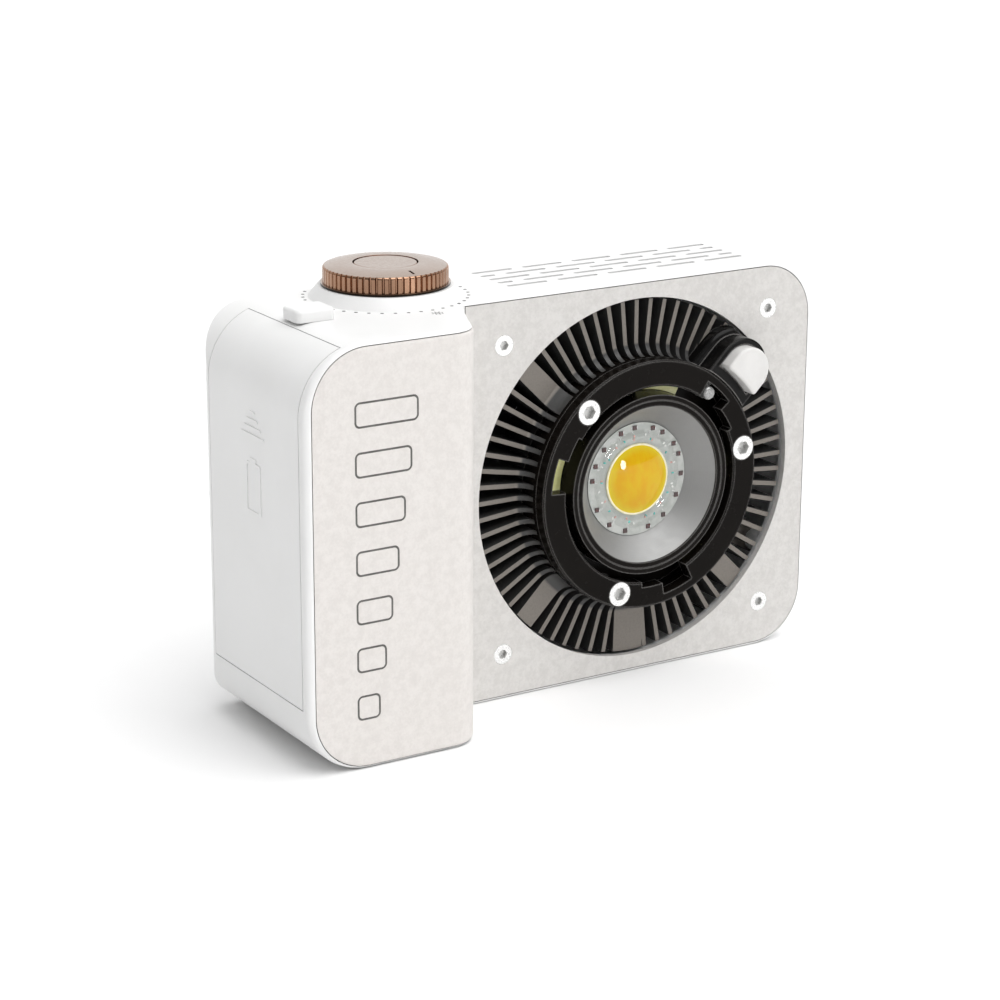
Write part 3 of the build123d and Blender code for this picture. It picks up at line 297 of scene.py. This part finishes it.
def grip_leather():
    f = mottled("grip_leather", (0.765, 0.733, 0.706), (0.70, 0.668, 0.641), (0.55, 0.7), 1100.0, 0.03)
    f.shader.inputs["Sheen Weight"].default_value = 0.12
    f.shader.inputs["Sheen Roughness"].default_value = 0.5
    return f


def dial_copper():
    """Copper with straight side grain and a ring-turned top, painted paler where it faces up as a painted
    highlight.
    """
    f = Finish("dial_copper", Metallic=1.0)
    # painted highlight: faces turned up get a paler, less saturated copper
    up = f.facing("Z", 0.75, 0.97)
    tone = f.noise(160.0, 3.0, 0.6)
    side = f.blend(tone, (0.30, 0.172, 0.110), (0.41, 0.245, 0.162))
    top = f.blend(tone, (0.44, 0.35, 0.295), (0.52, 0.425, 0.365))
    height = f.split(f.place, 2)
    metal = f.blend(up, side, top)
    # near-black band below the flange top: painted shade under the knurl
    f.colour(f.blend(f.step(height, DIAL_FLANGE - 0.05 * MM, DIAL_FLANGE), (0.02, 0.014, 0.01), metal))
    marks = f.rings((DIAL_X, DIAL_Y, 0), "Z", 0.12 * MM)
    f.rough(f.noise(900.0, 2.0, 0.5), 0.18, 0.26)
    f.bump(marks, 0.004 * MM)
    f.bump(f.noise(2500.0, 2.0, 0.5), 0.003 * MM)
    return f


def sink_dark():
    """Black cast aluminium with paler faces towards the front: partly machined, partly painted light on the
    faces that look forward.
    """
    f = Finish("sink_dark", Metallic=0.4)
    grain = f.noise(1500.0, 4.0, 0.7)
    # paler where the normal points forward: machined faces, with painted light on them
    machined_and_lit_front = f.facing("-Y", 0.93, 0.99)
    cast = f.blend(grain, (0.044, 0.044, 0.045), (0.080, 0.079, 0.076))
    machined_and_lit = f.blend(grain, (0.13, 0.118, 0.104), (0.27, 0.245, 0.218))
    f.colour(f.blend(machined_and_lit_front, cast, machined_and_lit))
    f.rough(grain, 0.38, 0.58)
    f.bump(grain, 0.04 * MM)
    return f


def reflector_silver():
    """Spun aluminium: rings round the axis and a soft satin gloss."""
    f = Finish("reflector_silver", Metallic=0.55)
    marks = f.rings((HEAD_X, 0, HEAD_Z), "Y", 0.09 * MM)
    f.colour(f.blend(marks, (0.30, 0.30, 0.296), (0.37, 0.37, 0.366)))
    f.rough(f.noise(500.0, 3.0, 0.6), 0.42, 0.5)
    f.bump(marks, 0.004 * MM)
    f.shader.inputs["Anisotropic"].default_value = 0.7
    tangent = f.tree.nodes.new("ShaderNodeTangent")
    tangent.direction_type, tangent.axis = "RADIAL", "Y"
    f.wire(f.shader.inputs["Tangent"], tangent.outputs[0])
    return f


def phosphor():
    """Yellow phosphor gel: orange depths, a greener edge, a clear wet skin."""
    f = Finish("phosphor", Coat_Weight=1.0, Coat_Roughness=0.03, Coat_IOR=1.4, Specular_IOR_Level=0.0)
    streak = f.noise(330.0, 4.0, 0.65, stretch=(1.0, 1.0, 0.45))
    core = f.blend(f.step(streak, 0.36, 0.64), (0.70, 0.375, 0.003), (0.70, 0.45, 0.005))
    edge = f.step(f.radius((HEAD_X, 0, HEAD_Z), "Y"), 7.2 * MM, 10.2 * MM)
    f.colour(f.blend(edge, core, (0.72, 0.55, 0.03)))
    f.rough(streak, 0.3, 0.4)
    f.bump(f.noise(700.0, 3.0, 0.6), 0.02 * MM)
    return f


def cob_clear():
    """Clear silicone over a silver board, with milky patches."""
    f = Finish("cob_clear", Metallic=0.3, Coat_Weight=1.0, Coat_Roughness=0.03)
    milk = f.noise(300.0, 4.0, 0.6)
    f.colour(f.blend(f.step(milk, 0.4, 0.64), (0.40, 0.42, 0.395), (0.50, 0.515, 0.49)))
    f.rough(milk, 0.3, 0.5)
    f.bump(f.noise(180.0, 2.0, 0.5), 0.08 * MM)
    return f


def fibre_board():
    """Green printed board with copper tracks under the mask."""
    f = Finish("board_green", Coat_Weight=0.4)
    tracks = f.step(f.noise(380.0, 1.0, 0.4, stretch=(1.0, 0.3, 1.0)), 0.5, 0.53)
    f.colour(f.blend(tracks, (0.008, 0.075, 0.03), (0.02, 0.14, 0.05)))
    f.rough(f.noise(900.0), 0.35, 0.5)
    f.bump(tracks, 0.03 * MM)
    return f


def window_glass():
    """Smoked acrylic with a mirror-smooth face."""
    f = plain("window_glass", (0.016, 0.018, 0.02), (0.010, 0.011, 0.012), (0.04, 0.09), 90.0, 500.0, 0.002)
    f.shader.inputs["Coat Weight"].default_value = 0.6
    return f


def screw_bright(face=RING_SCREW_FACE):
    """White nickel whose hexagon socket, sunk behind the screw's face, is painted darker as painted shade."""
    f = Finish("screw_bright", Metallic=0.55)
    tone = f.blend(f.noise(300.0, 3.0, 0.6), (0.86, 0.86, 0.85), (0.94, 0.94, 0.93))
    # painted shade: a darker colour inside the socket recess
    socket_shade = f.step(f.split(f.place, 1), face + 0.15 * MM, face + 0.7 * MM)
    f.colour(f.blend(socket_shade, tone, (0.62, 0.62, 0.61)))
    f.rough(f.noise(900.0, 2.0, 0.5), 0.24, 0.36)
    f.bump(f.noise(1500.0, 2.0, 0.5), 0.002 * MM)
    return f


FINISHES = {
    "screw_bright": screw_bright,
    "case_white": case_white,
    "black_metal": black_metal,
    "housing_black": housing_black,
    "plate_grey": plate_grey,
    "grip_leather": grip_leather,
    "dial_copper": dial_copper,
    "sink_dark": sink_dark,
    "reflector_silver": reflector_silver,
    "phosphor": phosphor,
    "cob_clear": cob_clear,
    "board_green": fibre_board,
    "window_glass": window_glass,
}

# slot: light colour, dark colour, roughness range,
# then blotches and grain per metre, grain depth in mm, and the shader's own settings
PLAIN = {
    "screw_dark": (
        (0.05, 0.05, 0.05), (0.03, 0.03, 0.03), (0.3, 0.45),
        300.0, 2500.0, 0.006, {"Metallic": 0.9},
    ),
    "button_grey": (
        (0.745, 0.735, 0.72), (0.70, 0.69, 0.675), (0.32, 0.42),
        120.0, 2400.0, 0.01, {},
    ),
    "pin_steel": (
        (0.36, 0.36, 0.355), (0.31, 0.31, 0.306), (0.2, 0.3),
        300.0, 1400.0, 0.001, {"Metallic": 0.5},
    ),
    "insulator_yellow": (
        (0.98, 0.97, 0.50), (0.92, 0.91, 0.38), (0.16, 0.3),
        240.0, 900.0, 0.02, {"Coat_Weight": 0.5},
    ),
    "cob_white": (
        (0.80, 0.81, 0.80), (0.70, 0.71, 0.70), (0.3, 0.45),
        300.0, 1800.0, 0.01, {},
    ),
    "led_red": (
        (0.075, 0.014, 0.011), (0.032, 0.008, 0.007), (0.15, 0.3),
        900.0, 3000.0, 0.01, {"Coat_Weight": 0.8},
    ),
    "spring_steel": (
        (0.62, 0.62, 0.63), (0.5, 0.5, 0.51), (0.25, 0.4),
        500.0, 3000.0, 0.006, {"Metallic": 1.0},
    ),
    "battery_grey": (
        (0.16, 0.165, 0.175), (0.12, 0.124, 0.13), (0.45, 0.6),
        120.0, 1500.0, 0.03, {},
    ),
    "bay_black": (
        (0.035, 0.035, 0.037), (0.022, 0.022, 0.023), (0.45, 0.62),
        120.0, 1500.0, 0.03, {},
    ),
    "contact_brass": (
        (0.83, 0.62, 0.28), (0.7, 0.5, 0.2), (0.25, 0.4),
        300.0, 2000.0, 0.01, {"Metallic": 1.0},
    ),
    "encoder_metal": (
        (0.7, 0.7, 0.69), (0.58, 0.58, 0.57), (0.28, 0.42),
        300.0, 2000.0, 0.01, {"Metallic": 1.0},
    ),
    "ferrite": (
        (0.07, 0.068, 0.066), (0.045, 0.044, 0.043), (0.5, 0.7),
        200.0, 1500.0, 0.04, {},
    ),
    "can_aluminium": (
        (0.7, 0.71, 0.72), (0.6, 0.61, 0.62), (0.3, 0.42),
        200.0, 2000.0, 0.01, {"Metallic": 0.9},
    ),
    "fan_black": (
        (0.03, 0.03, 0.031), (0.018, 0.018, 0.019), (0.35, 0.5),
        120.0, 1800.0, 0.015, {},
    ),
    "key_rubber": (
        (0.50, 0.50, 0.495), (0.44, 0.44, 0.435), (0.5, 0.65),
        200.0, 2200.0, 0.02, {},
    ),
    "socket_steel": (
        (0.66, 0.66, 0.67), (0.55, 0.55, 0.56), (0.25, 0.38),
        300.0, 2400.0, 0.006, {"Metallic": 1.0},
    ),
}


def finish_for(slot):
    if slot in FINISHES:
        return FINISHES[slot]().material
    light, dark, rough, patch, grain, depth, shader = PLAIN[slot]
    return plain(slot, light, dark, rough, patch, grain, depth, **shader).material


materials = {}
for row in frame["record"]["subparts"]:
    slot = row["material_slot"]
    if slot not in materials:
        materials[slot] = finish_for(slot)
    node = nodes[row["node"]]
    if not node.material_slots:
        node.data.materials.append(None)
    for place in node.material_slots:
        place.material = materials[slot]


plate_screw = screw_bright(PLATE_SCREW_FACE).material
for place in nodes["front_plate_screws"].material_slots:
    place.material = plate_screw


# printed, filled and soldered details: light colour, dark colour, roughness, shader
DETAILS = {
    "print_grey": ((0.10, 0.10, 0.10), (0.07, 0.07, 0.07), (0.5, 0.65), {}),
    "line_fill": ((0.145, 0.14, 0.132), (0.10, 0.097, 0.09), (0.5, 0.65), {}),
    "pad_teal": ((0.08, 0.56, 0.50), (0.05, 0.42, 0.38), (0.2, 0.35), {"Coat_Weight": 0.8}),
    "pad_pink": ((0.75, 0.42, 0.36), (0.6, 0.3, 0.26), (0.2, 0.35), {"Coat_Weight": 0.8}),
    "pad_white": ((0.88, 0.88, 0.86), (0.76, 0.76, 0.74), (0.2, 0.35), {"Coat_Weight": 0.8}),
    "solder": ((0.85, 0.85, 0.85), (0.7, 0.7, 0.7), (0.2, 0.3), {"Metallic": 1.0}),
    "gel_rim": ((0.90, 0.86, 0.66), (0.82, 0.76, 0.5), (0.15, 0.25), {"Coat_Weight": 1.0}),
    "clear_gel": (
        (0.97, 0.98, 0.97), (0.94, 0.95, 0.94), (0.02, 0.05),
        {"Transmission_Weight": 1.0, "IOR": 1.02, "Coat_Weight": 1.0, "Coat_Roughness": 0.02},
    ),
    "segment_pale": ((0.55, 0.62, 0.66), (0.46, 0.52, 0.56), (0.3, 0.45), {}),
    "symbol_dark": ((0.09, 0.09, 0.09), (0.06, 0.06, 0.06), (0.5, 0.6), {}),
}
DETAIL_PATCH, DETAIL_GRAIN, DETAIL_DEPTH = 500.0, 3500.0, 0.004
for name, (light, dark, rough, shader) in DETAILS.items():
    finish = plain(name, light, dark, rough, DETAIL_PATCH, DETAIL_GRAIN, DETAIL_DEPTH, **shader)
    materials[name] = finish.material


# ---------------------------------------------------------------- small pieces


def polar(radius, angle):
    """Point at a radius and an angle in degrees."""
    return radius * cos(radians(angle)), radius * sin(radians(angle))


def rounded(x0, x1, z0, z1, corner, segments=6):
    """Closed outline of a rounded rectangle, anticlockwise."""
    points = []
    left, right, low, high = x0 + corner, x1 - corner, z0 + corner, z1 - corner
    centres = ((right, high), (left, high), (left, low), (right, low))
    for quarter, (cx, cz) in enumerate(centres):
        for step in range(segments + 1):
            angle = (quarter + step / segments) * pi / 2
            points.append((cx + corner * cos(angle), cz + corner * sin(angle)))
    return points


def circle(cx, cz, radius, count=24):
    rim = [polar(radius, 360 * i / count) for i in range(count)]
    return [(cx + a, cz + b) for a, b in rim]


class Sheet:
    """Thin printed or inlaid shapes drawn in a plane, gathered into one mesh.

    put(a, b, h) turns plane coordinates and a height into a point."""

    def __init__(self, put, thick):
        self.mesh = bmesh.new()
        self.put = put
        self.thick = thick

    def loop(self, outline, height):
        return [self.mesh.verts.new(self.put(a, b, height)) for a, b in outline]

    def bridge(self, one, two):
        count = len(one)
        for i in range(count):
            j = (i + 1) % count
            self.mesh.faces.new((one[i], one[j], two[j], two[i]))

    def patch(self, outline, shoulder=0.25):
        """Filled shape with a softened rim."""
        cx = sum(a for a, _ in outline) / len(outline)
        cz = sum(b for _, b in outline) / len(outline)
        inner = [(a + (cx - a) * shoulder * 0.3, b + (cz - b) * shoulder * 0.3) for a, b in outline]
        foot = self.loop(outline, 0.0)
        side = self.loop(outline, self.thick * 0.6)
        top = self.loop(inner, self.thick)
        self.bridge(foot, side)
        self.bridge(side, top)
        self.mesh.faces.new(top)
        self.mesh.faces.new(list(reversed(foot)))

    def band(self, outer, inner):
        """Ring between two outlines with the same number of points."""
        levels = ((outer, 0.0), (outer, self.thick), (inner, self.thick), (inner, 0.0))
        loops = [self.loop(outline, height) for outline, height in levels]
        for i in range(4):
            self.bridge(loops[i], loops[(i + 1) % 4])

    def bar(self, a, b, angle, length, width):
        """Round-ended bar centred on a point."""
        c, s = cos(radians(angle)), sin(radians(angle))
        shape = rounded(-length / 2, length / 2, -width / 2, width / 2, width * 0.45, 3)
        self.patch([(a + u * c - v * s, b + u * s + v * c) for u, v in shape], 0.1)

    def finish(self, name, body, material, slot):
        bmesh.ops.recalc_face_normals(self.mesh, faces=self.mesh.faces)
        data = bpy.data.meshes.new(name)
        self.mesh.to_mesh(data)
        self.mesh.free()
        data.materials.append(materials[material])
        obj = bpy.data.objects.new(name, data)
        bpy.context.scene.collection.objects.link(obj)
        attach(obj, body)
        return obj


def on_top(a, b, height):
    return a, b, CASE_TOP + height


def on_grip(a, b, height):
    return a, GRIP_FRONT + GROOVE_DEPTH - height, b


def on_board(a, b, height):
    return HEAD_X + a, COB_FRONT - height, HEAD_Z + b


def sun(sheet, a, b, size):
    """Plain brightness symbol: a ring with eight rays."""
    sheet.band(circle(a, b, size * 0.48), circle(a, b, size * 0.33))
    for i in range(8):
        x, z = polar(size * 0.82, 45 * i)
        sheet.bar(a + x, b + z, 45 * i, size * 0.36, size * 0.16)


def turned_piece(name, section, body, material, turns=64):
    """Closed ring turned about the head's axis from (radius, height) points."""
    mesh = bmesh.new()
    rows = []
    for i in range(turns):
        x, z = polar(1.0, 360 * i / turns)
        rows.append([mesh.verts.new((HEAD_X + r * x, COB_FRONT - h, HEAD_Z + r * z)) for r, h in section])
    for i in range(turns):
        one, two = rows[i], rows[(i + 1) % turns]
        for j in range(len(section)):
            k = (j + 1) % len(section)
            mesh.faces.new((one[j], two[j], two[k], one[k]))
    bmesh.ops.recalc_face_normals(mesh, faces=mesh.faces)
    data = bpy.data.meshes.new(name)
    mesh.to_mesh(data)
    mesh.free()
    data.polygons.foreach_set("use_smooth", [True] * len(data.polygons))
    data.materials.append(materials[material])
    obj = bpy.data.objects.new(name, data)
    bpy.context.scene.collection.objects.link(obj)
    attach(obj, body)
    return obj


# thicknesses of print, groove filling, parts on the emitter and its solder
PRINT_T, FILL_T, PAD_T, SOLDER_T = 0.03 * MM, 0.07 * MM, 0.16 * MM, 0.1 * MM

# printed scale on the case, round the dial; none where the top rounds off at the rear
DOT_ORBIT, DOT_R = 22.6 * MM, 0.5 * MM
DOT_COUNT, DOT_START = 40, 4.2
TOP_REAR = 30.2 * MM
scale = Sheet(on_top, PRINT_T)
for i in range(DOT_COUNT):
    x, y = polar(DOT_ORBIT, 360 / DOT_COUNT * i + DOT_START)
    if DIAL_Y + y < TOP_REAR:
        scale.patch(circle(DIAL_X + x, DIAL_Y + y, DOT_R, 16))
sun(scale, DIAL_X + 0.9 * MM, DIAL_Y - 26.4 * MM, 1.7 * MM)
scale.finish("dial_scale_print", "case", "print_grey", "case_white")

# grey filling in the grooves of the grip's outlined bars
fill = Sheet(on_grip, FILL_T)
LINE = 0.6 * MM
BAR_COUNT, BAR_LEFT, BAR_LOW = 7, -75.5 * MM, 14.0 * MM
BAR_H, BAR_PITCH, BAR_SHORT, BAR_GROWTH = 7.0 * MM, 13.3 * MM, 7.0 * MM, 2.0 * MM
BAR_CORNER = 1.6 * MM
for i in range(BAR_COUNT):
    x1 = BAR_LEFT + BAR_SHORT + BAR_GROWTH * i
    z0 = BAR_LOW + BAR_PITCH * i
    z1 = z0 + BAR_H
    outer = rounded(BAR_LEFT, x1, z0, z1, BAR_CORNER)
    inner = rounded(BAR_LEFT + LINE, x1 - LINE, z0 + LINE, z1 - LINE, BAR_CORNER - LINE)
    fill.band(outer, inner)
fill.finish("grip_mark_fill", "case", "line_fill", "grip_leather")

# emitter: gel rim and clear gel round the dome
RIM_R, RIM_TUBE, RIM_LIFT, RIM_SIDES = 10.25 * MM, 0.42 * MM, 0.12 * MM, 10
rim_section = []
for j in range(RIM_SIDES):
    across, out = polar(RIM_TUBE, 360 / RIM_SIDES * j)
    rim_section.append((RIM_R + across, RIM_LIFT + out))
turned_piece("emitter_gel_rim", rim_section, "case", "gel_rim")

MOUND_IN, MOUND_OUT, MOUND_RISE = 10.5 * MM, 14.4 * MM, 0.5 * MM
MOUND_STEPS, MOUND_FOOT = 14, 0.01 * MM
mound_section = [(MOUND_OUT, -MOUND_FOOT), (MOUND_IN, -MOUND_FOOT)]
for j in range(MOUND_STEPS + 1):
    share = j / MOUND_STEPS
    radius = MOUND_IN + (MOUND_OUT - MOUND_IN) * share
    mound_section.append((radius, MOUND_FOOT + MOUND_RISE * sin(pi * share) ** 2))
turned_piece("emitter_gel_mound", mound_section, "case", "clear_gel")

# small coloured parts under the gel, a little out of line with each other
PAD_NAMES = ("pad_teal", "pad_pink", "pad_white")
PAD_COUNT, PAD_ORBIT, PAD_DRIFT = 36, 12.5 * MM, 0.7 * MM
PAD_L, PAD_W = 0.8 * MM, 0.5 * MM
pads = {name: Sheet(on_board, PAD_T) for name in PAD_NAMES}
for i in range(PAD_COUNT):
    angle = 360 / PAD_COUNT * i + 5 * sin(2.3 * i)
    x, z = polar(PAD_ORBIT + PAD_DRIFT * sin(1.7 * i), angle)
    sheet = pads[PAD_NAMES[(i * 2 + i // 5) % 3]]
    sheet.bar(x, z, angle + 35 * sin(3.1 * i), PAD_L, PAD_W)
for name, sheet in pads.items():
    sheet.finish("emitter_" + name, "case", name, "led_red")

# solder at both ends of each red chip, and its lead towards the dome
CHIP_ORBIT, LEAD_ORBIT = 15.3 * MM, 14.0 * MM
TICK_OUT, TICK_L, TICK_W = 0.86 * MM, 0.7 * MM, 0.24 * MM
LEAD_L, LEAD_W = 0.9 * MM, 0.14 * MM
CHIP_ANGLES = (21, 35, 56, 70, 94, 112, 138, 158, 174, 208, 233, 256, 286, 308, 334, 358)
ticks = Sheet(on_board, SOLDER_T)
for i, angle in enumerate(CHIP_ANGLES):
    for side in (-1, 1):
        x, z = polar(CHIP_ORBIT, angle)
        ticks.bar(x + TICK_OUT * side, z + 0.3 * MM * (i % 3 - 1), 90.0, TICK_L, TICK_W)
    x, z = polar(LEAD_ORBIT, angle + 3)
    ticks.bar(x, z, angle, LEAD_L, LEAD_W)
ticks.finish("emitter_solder", "case", "solder", "cob_white")


# rear: display segments and key symbols
def on_window(a, b, height):
    return a, REAR_FACE - 0.1 * MM + height, b


def key_plane(lift):
    return lambda a, b, height: (a, REAR_FACE + lift + height, b)


# level bars that grow towards -X, a battery outline with three cells, and a sun
segments = Sheet(on_window, PRINT_T)
LEVEL_COUNT, LEVEL_FIRST, LEVEL_PITCH = 10, REAR_X + 9.5 * MM, 2.2 * MM
LEVEL_HALF, LEVEL_SHORT, LEVEL_GROWTH = 0.75 * MM, 2.0 * MM, 0.75 * MM
LEVEL_FOOT = DISPLAY_Z - 6 * MM
for i in range(LEVEL_COUNT):
    tall = LEVEL_SHORT + LEVEL_GROWTH * i
    x = LEVEL_FIRST - LEVEL_PITCH * i
    column = rounded(x - LEVEL_HALF, x + LEVEL_HALF, LEVEL_FOOT, LEVEL_FOOT + tall, 0.25 * MM, 3)
    segments.patch(column, 0.1)
left, right = REAR_X + 5.5 * MM, REAR_X + 11.5 * MM
low, high = DISPLAY_Z + 4.3 * MM, DISPLAY_Z + 7.3 * MM
LINE_W = 0.35 * MM
cell = rounded(left, right, low, high, 0.6 * MM, 3)
hollow = rounded(left + LINE_W, right - LINE_W, low + LINE_W, high - LINE_W, 0.3 * MM, 3)
segments.band(cell, hollow)
for i in range(3):
    segments.bar(left + (1.4 + 1.6 * i) * MM, (low + high) / 2, 90.0, 1.7 * MM, 0.9 * MM)
sun(segments, REAR_X + 1.0 * MM, DISPLAY_Z + 5.8 * MM, 2.0 * MM)
segments.finish("display_segments", "case", "segment_pale", "window_glass")

key_face = {name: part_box(name)[1].y - REAR_FACE for name in ("power_button", "mode_button", "colour_button")}
order = sorted(key_face, key=lambda name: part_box(name)[0].x)
for name in order:
    low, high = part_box(name)
    cx, cz = (low.x + high.x) / 2, KEY_Z
    mark = Sheet(key_plane(key_face[name]), 0.04 * MM)
    if name == "power_button":
        arc = [polar(1.5 * MM, a) for a in range(125, 416, 10)]
        arc += [polar(1.15 * MM, a) for a in range(415, 124, -10)]
        mark.patch([(cx + a, cz + b) for a, b in arc], 0.0)
        mark.bar(cx, cz + 1.2 * MM, 90.0, 1.7 * MM, 0.36 * MM)
    elif name == "mode_button":
        for k in (-1, 0, 1):
            mark.bar(cx, cz + 1.0 * MM * k, 0.0, (2.8 - 0.5 * abs(k)) * MM, 0.38 * MM)
    else:
        mark.band(circle(cx, cz, 1.5 * MM), circle(cx, cz, 1.2 * MM))
        half = [polar(0.9 * MM, a) for a in range(-90, 91, 15)]
        mark.patch([(cx + a, cz + b) for a, b in half], 0.0)
    mark.finish(name + "_symbol", name, "symbol_dark", "key_rubber")


# ---------------------------------------------------------------- studio

FLOOR_LIGHT, FLOOR_DARK = (0.94, 0.94, 0.94), (0.936, 0.936, 0.936)
floor_finish = plain(
    "studio_floor", FLOOR_LIGHT, FLOOR_DARK, (0.8, 0.9), 40.0, 400.0, 0.01, Specular_IOR_Level=0.1
)
floor_mesh = bmesh.new()
bmesh.ops.create_grid(floor_mesh, x_segments=8, y_segments=8, size=15.0)
floor_data = bpy.data.meshes.new("studio_floor")
floor_mesh.to_mesh(floor_data)
floor_mesh.free()
floor_data.materials.append(floor_finish.material)
floor = bpy.data.objects.new("studio_floor", floor_data)
bpy.context.scene.collection.objects.link(floor)
floor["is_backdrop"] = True

# soft sky, brightest behind and above the object, dimmer in front of it
SKY_BRIGHTEST = (0.32, 0.77, 0.55)
scene = bpy.context.scene
scene.view_settings.view_transform = "Standard"
world = bpy.data.worlds.new("studio")
scene.world = world
world.use_nodes = True
background = world.node_tree.nodes["Background"]
background.inputs["Color"].default_value = (1.0, 1.0, 1.0, 1.0)
sky = world.node_tree.nodes.new("ShaderNodeTexCoord")
toward = world.node_tree.nodes.new("ShaderNodeVectorMath")
toward.operation = "DOT_PRODUCT"
toward.inputs[1].default_value = SKY_BRIGHTEST
brighter = world.node_tree.nodes.new("ShaderNodeMapRange")
brighter.interpolation_type = "SMOOTHSTEP"
for socket, value in (("From Min", 0.1), ("From Max", 0.95), ("To Min", 0.25), ("To Max", 1.0)):
    brighter.inputs[socket].default_value = value
world.node_tree.links.new(sky.outputs["Generated"], toward.inputs[0])
world.node_tree.links.new(toward.outputs["Value"], brighter.inputs["Value"])
world.node_tree.links.new(brighter.outputs["Result"], background.inputs["Strength"])


def look(obj, origin, target):
    obj.location = origin
    obj.rotation_mode = "QUATERNION"
    obj.rotation_quaternion = (Vector(target) - Vector(origin)).to_track_quat("-Z", "Y")


def sun_light(name, direction, power, spread):
    light = bpy.data.lights.new(name, "SUN")
    light.energy = power
    light.angle = radians(spread)
    obj = bpy.data.objects.new(name, light)
    scene.collection.objects.link(obj)
    look(obj, (0, 0, 2), Vector((0, 0, 2)) + Vector(direction))


def soft_box(name, origin, size, power):
    light = bpy.data.lights.new(name, "AREA")
    light.shape = "ELLIPSE"
    light.size, light.size_y = size
    light.energy = power
    obj = bpy.data.objects.new(name, light)
    scene.collection.objects.link(obj)
    look(obj, origin, (0, 0, 0.06))


sun_light("key", (-0.16, 0.42, -0.89), 2.3, 60.0)
soft_box("front_box", (0.23, -0.95, 0.10), (0.11, 0.16), 1.25)

# ---- camera ----
AZIMUTH, ELEVATION, ROLL = -0.553202, 0.295448, 0.0041227
STAND = (-0.40614, -0.63771, 0.28509)
LENS = 100.98
camera_data = bpy.data.cameras.new("camera")
camera_data.sensor_width = 36.0
camera_data.lens = LENS
camera = bpy.data.objects.new("camera", camera_data)
scene.collection.objects.link(camera)
back = Vector((sin(AZIMUTH) * cos(ELEVATION), -cos(AZIMUTH) * cos(ELEVATION), sin(ELEVATION)))
right = (-back).cross(Vector((0, 0, 1))).normalized()
up = back.cross(right)
turn = Matrix((right, up, back)).transposed() @ Matrix.Rotation(ROLL, 3, "Z")
camera.matrix_world = Matrix.Translation(STAND) @ turn.to_4x4()
camera_data.clip_start, camera_data.clip_end = 0.05, 100.0
scene.camera = camera

low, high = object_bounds()
